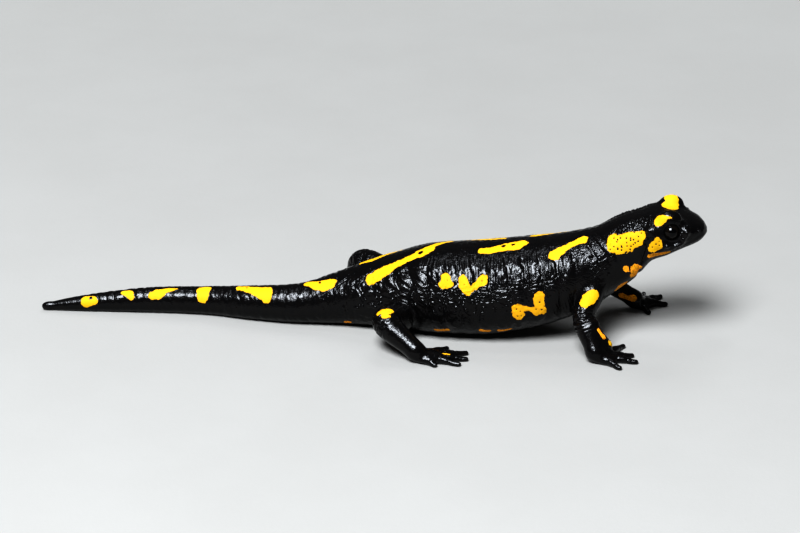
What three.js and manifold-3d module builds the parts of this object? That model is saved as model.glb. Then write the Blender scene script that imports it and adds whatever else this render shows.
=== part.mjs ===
// Fire salamander (Salamandra salamandra), life size, caught in mid-stride with its head raised.
// Units are millimetres. +X points to the snout, +Y to the animal's left and +Z up; the ground is z = 0.
// Tail, trunk, neck and head are one loft through anatomical stations, parted by thin cuts across it.
// Limbs are lofts along a curve through their joints; hands and feet are a palm with a fan of digits.
import * as THREE from "three";
import { mergeVertices } from "three/addons/utils/BufferGeometryUtils.js";
import Module from "manifold-3d";

const wasm = await Module();
wasm.setup();

// ---- Driving dimensions -------------------------------------------------------------------------

const CUT = 0.3; // gap between neighbouring pieces
const BODY_SIDES = 24; // points round the body
const LIMB_SIDES = 10;
const DIGIT_SIDES = 6;

// Stations from the tail tip to the snout. y is the midline's sideways place, belly and back are the
// heights of the outline, half is half the width and square the superellipse exponent of the back.
const STATIONS = [
  { name: "tail tip", x: -90, y: 7.2, belly: 0.5, back: 1.3, half: 0.35, square: 2 },
  { name: "tail end", x: -88.2, y: 7.3, belly: 0.1, back: 2.1, half: 0.95, square: 2 },
  { name: "thin tail", x: -76, y: 7.3, belly: -0.1, back: 4.6, half: 2.3, square: 2 },
  { name: "tail, last third", x: -60, y: 7.0, belly: -0.2, back: 6.6, half: 3.2, square: 2 },
  { name: "tail, middle", x: -46, y: 5.9, belly: -0.2, back: 7.3, half: 3.6, square: 2 },
  { name: "tail, first third", x: -33, y: 2.9, belly: -0.2, back: 8.8, half: 4.4, square: 2 },
  { name: "tail root", x: -20, y: 0.9, belly: -0.2, back: 10.4, half: 5.1, square: 2 },
  { name: "behind the vent", x: -9.5, y: 0.8, belly: -0.2, back: 13.9, half: 6.6, square: 2 },
  { name: "vent", x: -1, y: 0.4, belly: -0.2, back: 17.2, half: 8.5, square: 2.1 },
  { name: "hips", x: 7, y: -1.0, belly: -0.2, back: 20.2, half: 10.2, square: 2.1 },
  { name: "loins", x: 16, y: -2.6, belly: -0.3, back: 23.0, half: 12.2, square: 2.1 },
  { name: "trunk, fullest", x: 28, y: -3.4, belly: -0.3, back: 24.0, half: 13.2, square: 2.1 },
  { name: "ribs", x: 40, y: -4.1, belly: 1.6, back: 25.4, half: 12.9, square: 2.1 },
  { name: "behind the arms", x: 50, y: -4.8, belly: 4.8, back: 26.9, half: 11.8, square: 2.1 },
  { name: "shoulders", x: 58, y: -5.3, belly: 8.6, back: 29.0, half: 10.0, square: 2.1 },
  { name: "nape", x: 65, y: -5.9, belly: 13.6, back: 32.5, half: 8.2, square: 2.2 },
  { name: "throat fold", x: 69.6, y: -6.4, belly: 17.6, back: 34.2, half: 8.0, square: 2.4 },
  { name: "jaw corners", x: 73.4, y: -6.8, belly: 22.7, back: 35.7, half: 8.7, square: 2.6 },
  { name: "eyes", x: 77.4, y: -7.2, belly: 24.6, back: 35.6, half: 8.1, square: 2.7 },
  { name: "cheeks", x: 81.2, y: -7.6, belly: 26.1, back: 34.6, half: 6.9, square: 2.5 },
  { name: "nostrils", x: 84.6, y: -7.9, belly: 27.5, back: 33.3, half: 5.1, square: 2.3 },
  { name: "snout", x: 86.3, y: -8.1, belly: 28.7, back: 32.1, half: 3.2, square: 2.1 },
  { name: "snout tip", x: 87, y: -8.2, belly: 29.7, back: 31.0, half: 1.1, square: 2 },
];
const BELLY_SQUARE = 2.4; // superellipse exponent of the underside
const WIDEST = 0.46; // share of the height at which the body is widest
const HEAD_TURN = { from: 62, to: 76, slope: 0.11 }; // the head looks a little to the right

// Rounded swellings of the body on both sides: where they are along x, how far round from the side
// towards the back in degrees, how far they reach each way, and how high they stand.
const SWELLINGS = [
  { name: "parotoid gland", x: 66.4, turn: 40, long: 5.2, wide: 26, high: 1.1 },
  { name: "jaw muscle", x: 73.4, turn: 6, long: 2.6, wide: 30, high: 0.5 },
  { name: "loreal swelling", x: 82.4, turn: 28, long: 2.4, wide: 30, high: 0.45 },
];

// The nodes of the body, where each begins and ends along x, and its number of rings.
const SEGMENTS = [
  { name: "tail_tip", from: -90, to: -60, rings: 8 },
  { name: "tail_middle", from: -60, to: -32, rings: 6 },
  { name: "tail_base", from: -32, to: -5, rings: 6 },
  { name: "pelvis", from: -5, to: 18, rings: 6 },
  { name: "trunk", from: 18, to: 44, rings: 6 },
  { name: "chest", from: 44, to: 61, rings: 6 },
  { name: "neck", from: 61, to: 71.6, rings: 6 },
  { name: "head", from: 71.6, to: 87, rings: 12 },
];

// Eyes stand in sockets in the sides of the head, under swollen upper lids.
const EYE = { x: 77.8, out: 6.7, z: 32.2, radius: 2.2 };
const LID = { x: 77.3, out: 5.6, z: 34.1, reach: [3.4, 2.4, 2.8] };

// The mouth line as [x, z], from behind the corner of the jaws to beyond the snout.
const MOUTH = [[71, 25.6], [74, 26.4], [77, 26.9], [80, 27.4], [83, 28.2], [86, 29.2], [89, 29.9]];

// Each limb's joints from inside the body to the wrist or ankle, the radii at the joints, the heading
// of the palm in degrees from +X, and each digit's direction and reach from the wrist or ankle.
const ARM_RADII = [3.3, 3.2, 2.7, 2.2];
const LEG_RADII = [4.0, 3.9, 3.6, 2.5];
const LIMBS = [
  {
    side: "right", kind: "arm", radii: ARM_RADII, heading: 4,
    joints: [[59, -9.5, 18], [56.9, -14.8, 14.4], [54.6, -20, 10.0], [57.4, -25, 2.9]],
    digits: [[-38, 8.4], [-7, 11.3], [14, 10.8], [45, 12.0]],
  },
  {
    side: "left", kind: "arm", radii: ARM_RADII, heading: 22,
    joints: [[60, -1.5, 17], [60.8, 4.2, 13.6], [62.8, 9.4, 7.6], [70.4, 8.0, 3.0]],
    digits: [[-46, 5.8], [10, 9.4], [40, 10.6], [68, 9.4]],
  },
  {
    side: "right", kind: "leg", radii: LEG_RADII, heading: -2,
    joints: [[9, -4.5, 6.2], [7.6, -10.5, 6.4], [3.2, -17.2, 7.7], [10.6, -24.4, 3.1]],
    digits: [[-36, 7.0], [-16, 12.4], [-1, 13.9], [14, 14.4], [36, 11.0]],
  },
  {
    side: "left", kind: "leg", radii: LEG_RADII, heading: 46,
    joints: [[7, 3.5, 8.0], [4.2, 8.5, 9.4], [-2.9, 14.4, 10.8], [-5.6, 21.2, 3.1]],
    digits: [[0, 10.2], [24, 13.2], [46, 14.0], [68, 12.4], [94, 8.2]],
  },
];
const PALM = {
  arm: { length: 5.0, half: 2.9, thick: 1.5 },
  leg: { length: 6.6, half: 3.3, thick: 1.6 },
};
const DIGIT = { root: 1.1, middle: 0.95, tip: 0.62, knuckle: 1.15 }; // radii, and the knuckle's height
const PRESSED = 0.15; // how far soles and digit tips are pressed flat on the ground

const SKIN_BLACK = new THREE.MeshStandardMaterial({ color: 0x0b0b0d, roughness: 0.28, metalness: 0 });
const EYE_BLACK = new THREE.MeshStandardMaterial({ color: 0x060505, roughness: 0.06, metalness: 0 });

// ---- Helpers ------------------------------------------------------------------------------------

// A smooth line through [x, value] stations, as a function of x: cubic, with no overshoot.
function smoothLine(stations) {
  const last = stations.length - 1;
  const slope = (i) => (stations[i + 1][1] - stations[i][1]) / (stations[i + 1][0] - stations[i][0]);
  const tangents = stations.map((_, i) => {
    if (i === 0) return slope(0);
    if (i === last) return slope(last - 1);
    const before = slope(i - 1);
    const after = slope(i);
    return before * after <= 0 ? 0 : (2 * before * after) / (before + after);
  });
  return (x) => {
    let i = 0;
    while (i < last - 1 && x > stations[i + 1][0]) i += 1;
    const width = stations[i + 1][0] - stations[i][0];
    const t = THREE.MathUtils.clamp((x - stations[i][0]) / width, 0, 1);
    const flat = stations[i][1] * (1 + 2 * t) * (1 - t) ** 2 + stations[i + 1][1] * t * t * (3 - 2 * t);
    return flat + width * (tangents[i] * t * (1 - t) ** 2 + tangents[i + 1] * t * t * (t - 1));
  };
}

// A closed body through rings of points, with a fan at each end.
function loft(rings) {
  const sides = rings[0].length;
  const positions = rings.flat().flatMap((p) => [p.x, p.y, p.z]);
  const faces = [];
  for (let r = 0; r < rings.length - 1; r += 1) {
    for (let k = 0; k < sides; k += 1) {
      const a = r * sides + k;
      const b = r * sides + ((k + 1) % sides);
      faces.push(a, b, b + sides, a, b + sides, a + sides);
    }
  }
  for (const start of [0, (rings.length - 1) * sides]) {
    const ring = rings[start / sides];
    const middle = ring.reduce((sum, p) => sum.add(p), new THREE.Vector3()).divideScalar(sides);
    const centre = positions.push(middle.x, middle.y, middle.z) / 3 - 1;
    for (let k = 0; k < sides; k += 1) {
      const edge = [start + k, start + ((k + 1) % sides)];
      faces.push(centre, ...(start === 0 ? edge.reverse() : edge));
    }
  }
  const geometry = new THREE.BufferGeometry();
  geometry.setAttribute("position", new THREE.Float32BufferAttribute(positions, 3));
  geometry.setIndex(faces);
  return geometry;
}

// A three.js geometry as a manifold solid, turned the right way out.
function solid(geometry) {
  const bare = geometry.clone();
  bare.deleteAttribute("normal");
  bare.deleteAttribute("uv");
  const merged = mergeVertices(bare, 1e-4);
  const triVerts = new Uint32Array(merged.index.array);
  const mesh = { numProp: 3, vertProperties: merged.attributes.position.array, triVerts };
  const made = new wasm.Manifold(new wasm.Mesh(mesh));
  if (made.volume() > 0) return made;
  for (let i = 0; i < triVerts.length; i += 3) {
    [triVerts[i + 1], triVerts[i + 2]] = [triVerts[i + 2], triVerts[i + 1]];
  }
  return new wasm.Manifold(new wasm.Mesh(mesh));
}

// A manifold solid as a named three.js mesh.
function meshOf(name, made, material) {
  const { vertProperties, triVerts } = made.getMesh();
  const geometry = new THREE.BufferGeometry();
  geometry.setAttribute("position", new THREE.BufferAttribute(vertProperties, 3));
  geometry.setIndex(new THREE.BufferAttribute(triVerts, 1));
  geometry.computeVertexNormals();
  const mesh = new THREE.Mesh(geometry, material.clone());
  mesh.name = name;
  return mesh;
}

const joined = (solids) => solids.reduce((whole, next) => whole.add(next));

// An ellipsoid with the given reach along X, Y and Z.
function ellipsoid(centre, reach, detail) {
  const ball = new THREE.SphereGeometry(1, detail, Math.round(detail * 0.7));
  ball.scale(...reach);
  ball.translate(...centre);
  return solid(ball);
}

const everythingBelow = new THREE.BoxGeometry(400, 200, 20).translate(0, 0, -10);
const ground = solid(everythingBelow);

// ---- Body ---------------------------------------------------------------------------------------

const along = (key) => smoothLine(STATIONS.map((station) => [station.x, station[key]]));
const midline = along("y");
const belly = along("belly");
const back = along("back");
const half = along("half");
const square = along("square");

const headTurn = (x) => HEAD_TURN.slope * THREE.MathUtils.smoothstep(x, HEAD_TURN.from, HEAD_TURN.to);

// How far the swellings stand out at x, a turn of degrees up from the side.
function swelling(x, degrees) {
  const upFromSide = degrees > 90 ? 180 - degrees : degrees;
  return SWELLINGS.reduce((sum, s) => {
    const away = ((x - s.x) / s.long) ** 2 + ((upFromSide - s.turn) / s.wide) ** 2;
    return sum + s.high * Math.exp(-away);
  }, 0);
}

// The body's outline at x, grown outwards by grow.
function section(x, grow = 0) {
  const low = belly(x);
  const high = back(x);
  const middle = low + (high - low) * WIDEST;
  return Array.from({ length: BODY_SIDES }, (_, k) => {
    const turn = ((k + 0.5) / BODY_SIDES) * 2 * Math.PI;
    const across = Math.cos(turn);
    const up = Math.sin(turn);
    const power = 2 / (up > 0 ? square(x) : BELLY_SQUARE);
    const out = grow + swelling(x, THREE.MathUtils.radToDeg(turn));
    const y = Math.sign(across) * Math.abs(across) ** power * half(x) + across * out;
    const z = Math.sign(up) * Math.abs(up) ** power * (up > 0 ? high - middle : middle - low) + up * out;
    return new THREE.Vector3(x + y * headTurn(x), midline(x) + y, middle + z);
  });
}

// Rings crowd together towards the ends that taper to a point.
const CROWDING = { tail_tip: (t) => t ** 1.5, head: (t) => 1 - (1 - t) ** 1.6 };

function bodyLoft({ name, from, to, rings }, grow = 0) {
  const ease = CROWDING[name] ?? ((t) => t);
  const start = from === STATIONS[0].x ? from : from + CUT / 2 - grow;
  const end = to === STATIONS.at(-1).x ? to : to - CUT / 2 + grow;
  const places = Array.from({ length: rings + 1 }, (_, i) => start + (end - start) * ease(i / rings));
  return loft(places.map((x) => section(x, grow)));
}

const onSide = (side, { x, out, z }) => [x + side * out * headTurn(x), midline(x) + side * out, z];

// The region under the mouth line lowered by drop: what it holds of the head is the lower jaw.
function underMouth(drop) {
  const line = MOUTH.map(([x, z]) => new THREE.Vector2(x, z - drop));
  const shape = new THREE.Shape();
  shape.moveTo(line[0].x - 5, 0);
  shape.lineTo(line[0].x - 5, line[0].y);
  shape.lineTo(line[0].x, line[0].y);
  shape.splineThru(line.slice(1));
  shape.lineTo(line.at(-1).x, 0);
  const depth = 60;
  const slab = new THREE.ExtrudeGeometry(shape, { depth, bevelEnabled: false, curveSegments: 8 });
  slab.rotateX(Math.PI / 2);
  slab.translate(0, depth / 2, 0);
  return solid(slab);
}

const SIDES = [["right", -1], ["left", 1]];
const body = new Map(SEGMENTS.map((segment) => [segment.name, solid(bodyLoft(segment)).subtract(ground)]));
const lids = SIDES.map(([, side]) => ellipsoid(onSide(side, LID), LID.reach, 13));
const socketRadius = EYE.radius + CUT;
const sockets = SIDES.map(([, side]) => {
  return ellipsoid(onSide(side, EYE), [socketRadius, socketRadius, socketRadius], 13);
});
const wholeHead = joined([body.get("head"), ...lids]).subtract(joined(sockets));
body.set("head", wholeHead.subtract(underMouth(0)));
body.set("lower_jaw", wholeHead.intersect(underMouth(CUT)));

// ---- Limbs --------------------------------------------------------------------------------------

// The middle of the body, grown by a thin gap: the limbs are cut back to it.
const MIDDLE = SEGMENTS.filter(({ name }) => ["pelvis", "trunk", "chest", "neck"].includes(name));
const bodyGrown = joined(MIDDLE.map((segment) => solid(bodyLoft(segment, CUT))));

// Rings round a curve, from one share of its length to another. Each of the two radii is a function
// of the share; across, when given, is the direction of the first, otherwise both turn freely.
function ringsAlong(curve, wide, thick, from, to, count, sides, across) {
  const frames = 40;
  const { normals, binormals } = curve.computeFrenetFrames(frames, false);
  return Array.from({ length: count + 1 }, (_, i) => {
    const share = from + ((to - from) * i) / count;
    const centre = curve.getPointAt(share);
    const nearest = Math.round(share * frames);
    const first = across ?? normals[nearest];
    const second = across
      ? new THREE.Vector3().crossVectors(curve.getTangentAt(share), across).normalize()
      : binormals[nearest];
    return Array.from({ length: sides }, (_, k) => {
      const turn = (k / sides) * 2 * Math.PI;
      const point = centre.clone();
      point.addScaledVector(first, Math.cos(turn) * wide(share));
      return point.addScaledVector(second, Math.sin(turn) * thick(share));
    });
  });
}

// The share of a curve's length that lies nearest to a point.
function shareNear(curve, point) {
  const shares = Array.from({ length: 201 }, (_, i) => i / 200);
  const gap = (share) => curve.getPointAt(share).distanceTo(point);
  return shares.reduce((best, share) => (gap(share) < gap(best) ? share : best));
}

// The upper and lower parts of a limb, parted at the elbow or knee, and the room that the lower part
// takes with a thin gap round it.
function limbSolids({ joints, radii }) {
  const bones = joints.map((joint) => new THREE.Vector3(...joint));
  const curve = new THREE.CatmullRomCurve3(bones, false, "centripetal");
  const shares = bones.map((bone) => shareNear(curve, bone));
  const radius = smoothLine(shares.map((share, i) => [share, radii[i]]));
  const gap = CUT / 2 / curve.getLength();
  const bend = shares[2];
  const upper = solid(loft(ringsAlong(curve, radius, radius, 0, bend, 7, LIMB_SIDES)));
  const lower = solid(loft(ringsAlong(curve, radius, radius, bend + gap, 1, 5, LIMB_SIDES)));
  const wider = (share) => radius(share) + CUT;
  const roomRings = ringsAlong(curve, wider, wider, bend - gap, 1, 5, LIMB_SIDES);
  const onwards = curve.getTangentAt(1).multiplyScalar(CUT);
  roomRings.at(-1).forEach((point) => point.add(onwards));
  const room = solid(loft(roomRings));
  const parts = [upper.subtract(room), lower].map((part) => part.subtract(bodyGrown).subtract(ground));
  return { parts, room };
}

// A palm or sole that broadens from the wrist or ankle, with its digits.
function pawSolid({ kind, joints, radii, heading, digits }) {
  const palm = PALM[kind];
  const wrist = new THREE.Vector3(...joints.at(-1));
  const towards = (degrees, length, z) => {
    const turn = THREE.MathUtils.degToRad(degrees);
    return new THREE.Vector3(wrist.x + Math.cos(turn) * length, wrist.y + Math.sin(turn) * length, z);
  };
  const sole = palm.thick * 0.85 - PRESSED; // height of the palm's middle
  const spine = new THREE.CatmullRomCurve3([
    wrist.clone(),
    towards(heading, palm.length * 0.45, (wrist.z + sole) / 2),
    towards(heading, palm.length, sole),
  ]);
  const start = radii.at(-1) * 0.97;
  const wide = smoothLine([[0, start], [0.55, palm.half], [0.9, palm.half * 0.9], [1, palm.half * 0.5]]);
  const thick = smoothLine([[0, start], [0.5, palm.thick], [0.9, palm.thick * 0.85], [1, palm.thick * 0.4]]);
  const across = towards(heading + 90, 1, wrist.z).sub(wrist);
  const palmSolid = solid(loft(ringsAlong(spine, wide, thick, 0, 1, 6, LIMB_SIDES, across)));
  const digitRadius = smoothLine([
    [0, DIGIT.root], [0.55, DIGIT.middle], [0.9, DIGIT.tip], [1, DIGIT.tip * 0.45],
  ]);
  const fingers = digits.map(([angle, reach]) => {
    const spread = angle - heading;
    const path = new THREE.CatmullRomCurve3([
      towards(heading + spread * 0.5, palm.length * 0.5, sole),
      towards(heading + spread * 0.92, reach * 0.66, DIGIT.knuckle),
      towards(angle, reach * 0.87, DIGIT.tip - PRESSED),
      towards(angle, reach, DIGIT.tip * 0.7),
    ]);
    return solid(loft(ringsAlong(path, digitRadius, digitRadius, 0, 1, 6, DIGIT_SIDES)));
  });
  return joined([palmSolid, ...fingers]).subtract(ground);
}

// ---- Assembly -----------------------------------------------------------------------------------

const NODE_NAMES = { arm: ["upper_arm", "forearm", "hand"], leg: ["thigh", "shank", "foot"] };
const salamander = new THREE.Group();
for (const [name, made] of body) salamander.add(meshOf(name, made, SKIN_BLACK));
for (const [label, side] of SIDES) {
  const eye = ellipsoid(onSide(side, EYE), [EYE.radius, EYE.radius, EYE.radius], 14);
  salamander.add(meshOf(`eye_${label}`, eye, EYE_BLACK));
}
for (const limb of LIMBS) {
  const { parts, room } = limbSolids(limb);
  [...parts, pawSolid(limb).subtract(room)].forEach((part, i) => {
    salamander.add(meshOf(`${NODE_NAMES[limb.kind][i]}_${limb.side}`, part, SKIN_BLACK));
  });
}

// The origin is the middle of the bounding box's underside.
const box = new THREE.Box3().setFromObject(salamander);
const centre = box.getCenter(new THREE.Vector3());
salamander.position.set(-centre.x, -centre.y, -box.min.z);

export default salamander;
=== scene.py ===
"""Fire salamander: skin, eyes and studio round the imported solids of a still, life-size model.

Sizes are millimetres in the animal's own measure: x runs along the body, from -90 at the tail tip to 87
at the snout, y runs to the animal's left and z up from the ground. A place on the body is a length along
it and an angle up from its side. Blender's metres come in where a mesh is made.
"""

import copy
import logging
import math
from collections.abc import Callable, Iterator
from dataclasses import dataclass, field
from enum import Enum

import bpy
import numpy as np
import openvdb
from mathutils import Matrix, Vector


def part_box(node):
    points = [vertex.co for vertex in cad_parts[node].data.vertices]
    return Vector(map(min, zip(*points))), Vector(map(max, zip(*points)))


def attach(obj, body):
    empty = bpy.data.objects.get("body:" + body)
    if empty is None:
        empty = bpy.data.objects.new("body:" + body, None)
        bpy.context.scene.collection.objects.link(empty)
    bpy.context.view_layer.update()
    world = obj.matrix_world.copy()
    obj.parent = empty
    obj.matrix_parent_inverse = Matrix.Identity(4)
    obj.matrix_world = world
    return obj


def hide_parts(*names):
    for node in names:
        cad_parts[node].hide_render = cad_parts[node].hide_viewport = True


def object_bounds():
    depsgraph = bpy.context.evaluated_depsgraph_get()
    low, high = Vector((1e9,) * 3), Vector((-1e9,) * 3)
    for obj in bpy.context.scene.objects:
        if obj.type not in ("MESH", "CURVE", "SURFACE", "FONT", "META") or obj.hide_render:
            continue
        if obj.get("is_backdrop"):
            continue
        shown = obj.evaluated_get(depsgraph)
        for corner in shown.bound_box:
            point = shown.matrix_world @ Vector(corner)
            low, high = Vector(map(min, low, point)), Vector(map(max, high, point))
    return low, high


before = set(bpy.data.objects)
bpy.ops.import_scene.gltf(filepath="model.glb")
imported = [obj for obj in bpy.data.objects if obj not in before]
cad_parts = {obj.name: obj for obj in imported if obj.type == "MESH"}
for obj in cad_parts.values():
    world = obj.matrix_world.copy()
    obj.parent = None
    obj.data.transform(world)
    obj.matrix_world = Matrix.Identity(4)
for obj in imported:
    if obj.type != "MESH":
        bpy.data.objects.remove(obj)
cad_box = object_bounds()

LOG = logging.getLogger("fire_salamander")
Array = np.ndarray
Triple = tuple[float, float, float]
Quad = tuple[float, float, float, float]
MM = 0.001  # metres in a millimetre
FAR = 4.0  # distances beyond this are all the same


class Side(Enum):
    """A side of the animal, as the sign of its y."""

    RIGHT = -1
    LEFT = 1


class LimbKind(Enum):
    """A fore limb or a hind one."""

    ARM = "arm"
    LEG = "leg"


# ---- Lines, curves and grain ------------------------------------------------------------------------


def ease(value: Array | float, start: float, end: float) -> Array:
    """A smooth step from 0 at start to 1 at end.

    Args:
        value: Where to read the step.
        start: Where the step begins.
        end: Where the step ends; it may lie below start.

    Returns:
        The step's height at each value.
    """
    share = np.clip((np.asarray(value, dtype=float) - start) / (end - start), 0.0, 1.0)
    return share * share * (3.0 - 2.0 * share)


def bell(distance: Array, reach: float) -> Array:
    """A bell curve of height 1, which falls to about a third at its reach."""
    return np.exp(-((distance / reach) ** 2))


def between(value: Array, start: float, full: float, last: float, end: float) -> Array:
    """1 from full to last, with smooth steps up from 0 at start and down to 0 at end."""
    return ease(value, start, full) * ease(value, end, last)


def columns(*parts: Array) -> Array:
    """Rows of numbers from their columns."""
    return np.stack(parts, axis=1)


def lengths(path: Array) -> Array:
    """The length along a path up to each of its points."""
    return np.concatenate([[0.0], np.cumsum(np.linalg.norm(np.diff(path, axis=0), axis=1))])


def tube_faces(rings: int, sides: int) -> tuple[Array, Array]:
    """The faces of a tube of rings, which is closed by one more point at each end.

    Args:
        rings: How many rings of points there are.
        sides: How many points each ring has.

    Returns:
        The quads between the rings, and the triangles at the first end and then at the last.
    """
    r, k = np.meshgrid(np.arange(rings - 1), np.arange(sides), indexing="ij")
    a = (r * sides + k).ravel()
    b = (r * sides + (k + 1) % sides).ravel()
    k = np.arange(sides)
    after, end, tip = (k + 1) % sides, (rings - 1) * sides, np.full(sides, rings * sides)
    ends = np.vstack([columns(tip, after, k), columns(tip + 1, end + k, end + after)])
    return columns(a, b, b + sides, a + sides), ends


def cubic(t: Array, start: Array, end: Array, leaving: Array, arriving: Array) -> Array:
    """A smooth curve from start to end as t runs from 0 to 1, with its slopes there."""
    flat = start * (1 + 2 * t) * (1 - t) ** 2 + end * t * t * (3 - 2 * t)
    return flat + leaving * t * (1 - t) ** 2 + arriving * t * t * (t - 1)


def corners(low: Array, part: Array) -> Iterator[tuple[Array, Array]]:
    """The corners of the lattice cells that points lie in, each with its weight at every point."""
    for corner in np.ndindex((2,) * low.shape[1]):
        offset = np.array(corner)
        yield low + offset, np.prod(np.where(offset == 1, part, 1 - part), axis=1)


class SmoothLine:
    """A smooth line through places and values, with no overshoot."""

    def __init__(self, places: list[float], values: list[float]) -> None:
        """Works out the slope at each place from the slopes beside it."""
        self.places = np.array(places, dtype=float)
        self.values = np.array(values, dtype=float)
        slopes = np.diff(self.values) / np.diff(self.places)
        before, after = slopes[:-1], slopes[1:]
        same = before * after > 0
        total = np.where(same, before + after, 1.0)
        inner = np.where(same, 2.0 * before * after / total, 0.0)
        self.tangents = np.concatenate([slopes[:1], inner, slopes[-1:]])

    def __call__(self, at: Array | float) -> Array:
        """The line's value at each place."""
        at = np.asarray(at, dtype=float)
        i = np.clip(np.searchsorted(self.places, at) - 1, 0, len(self.places) - 2)
        width = self.places[i + 1] - self.places[i]
        t = np.clip((at - self.places[i]) / width, 0.0, 1.0)
        leaving, arriving = width * self.tangents[i], width * self.tangents[i + 1]
        return cubic(t, self.values[i], self.values[i + 1], leaving, arriving)


def smooth_path(joints: Array, steps: int) -> Array:
    """Points along a smooth curve through joints.

    Args:
        joints: The points that the curve passes through, one a row.
        steps: How many steps the curve takes from one joint to the next.

    Returns:
        The curve's points, one a row.
    """
    first = 2 * joints[0] - joints[1]
    last = 2 * joints[-1] - joints[-2]
    knots = np.vstack([first, joints, last])
    spans = np.sqrt(np.linalg.norm(np.diff(knots, axis=0), axis=1))
    pieces = []
    for i in range(1, len(knots) - 2):
        p0, p1, p2, p3 = knots[i - 1 : i + 3]
        d0, d1, d2 = spans[i - 1 : i + 2]
        lean_in = ((p1 - p0) / d0 - (p2 - p0) / (d0 + d1) + (p2 - p1) / d1) * d1
        lean_out = ((p2 - p1) / d1 - (p3 - p1) / (d1 + d2) + (p3 - p2) / d2) * d1
        t = np.linspace(0.0, 1.0, steps, endpoint=False)[:, None]
        pieces.append(cubic(t, p1, p2, lean_in, lean_out))
    return np.vstack([*pieces, joints[-1:]])


def ball(centre: Array, reach: Triple) -> Callable[..., Array]:
    """The field of an ellipsoid round a centre."""

    def field_of_ball(x: Array, y: Array, z: Array) -> Array:
        """The rough distance to the ellipsoid at each point of a grid."""
        a, b, c = x - centre[0], y - centre[1], z - centre[2]
        near = np.sqrt((a / reach[0]) ** 2 + (b / reach[1]) ** 2 + (c / reach[2]) ** 2)
        steep = np.sqrt((a / reach[0] ** 2) ** 2 + (b / reach[1] ** 2) ** 2 + (c / reach[2] ** 2) ** 2)
        return near * (near - 1) / np.maximum(steep, 1e-6)

    return field_of_ball


class Grain:
    """Repeatable noise in numpy, for shapes that a real skin has by chance."""

    def __init__(self, seed: int) -> None:
        """Keeps the seed that sets one grain apart from another."""
        self.seed = seed

    def _chance(self, cells: Array, salt: int) -> Array:
        """A number from 0 to 1 for each cell of a lattice."""
        mixed = np.full(len(cells), (self.seed * 2654435 + salt * 97531) & 0x7FFFFFFF, dtype=np.uint32)
        for axis, prime in zip(range(cells.shape[1]), (73856093, 19349663, 83492791)):
            mixed ^= cells[:, axis].astype(np.int64).astype(np.uint32) * np.uint32(prime)
        mixed = (mixed ^ (mixed >> np.uint32(15))) * np.uint32(2246822519)
        mixed = (mixed ^ (mixed >> np.uint32(13))) * np.uint32(3266489917)
        return (mixed ^ (mixed >> np.uint32(16))) / 4294967296.0

    def noise(self, points: Array) -> Array:
        """Smooth noise from -1 to 1 with waves about two units long."""
        low = np.floor(points)
        part = points - low
        part = part * part * part * (part * (part * 6 - 15) + 10)
        return sum(weight * self._chance(cell, 0) for cell, weight in corners(low, part)) * 2 - 1

    def ridges(self, points: Array) -> Array:
        """Noise that is 1 along winding ridges and falls towards -1 between them."""
        return 1 - 2 * np.abs(self.noise(points))

    def pebbles(self, points: Array) -> Array:
        """The distance from each point to the nearest of the scattered pebble centres."""
        low = np.floor(points)
        axes = points.shape[1]
        nearest = np.full(len(points), 9.0)
        for corner in np.ndindex((3,) * axes):
            cell = low + np.array(corner) - 1
            gap = sum((points[:, i] - cell[:, i] - self._chance(cell, i + 1)) ** 2 for i in range(axes))
            nearest = np.minimum(nearest, gap)
        return np.sqrt(nearest)


# ---- The body's measure -----------------------------------------------------------------------------


@dataclass(frozen=True)
class Station:
    """A cross-section of the body: its place along x, sideways place, heights, half width and squareness."""

    x: float
    y: float
    belly: float
    back: float
    half: float
    square: float = 2.0


@dataclass(frozen=True)
class Swelling:
    """A rounded swelling on both sides: its place, angle up from the side, reach both ways and height."""

    x: float
    up: float
    long: float
    wide: float
    high: float


@dataclass(frozen=True)
class Places:
    """Where points lie on the body.

    Attributes:
        along: Length along the body.
        side: -1 on the right and 1 on the left.
        up: Degrees up from the widest line of the side, 90 on the back and -90 on the belly.
        arc: Rough length round the body from its side.
    """

    along: Array
    side: Array
    up: Array
    arc: Array


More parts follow.
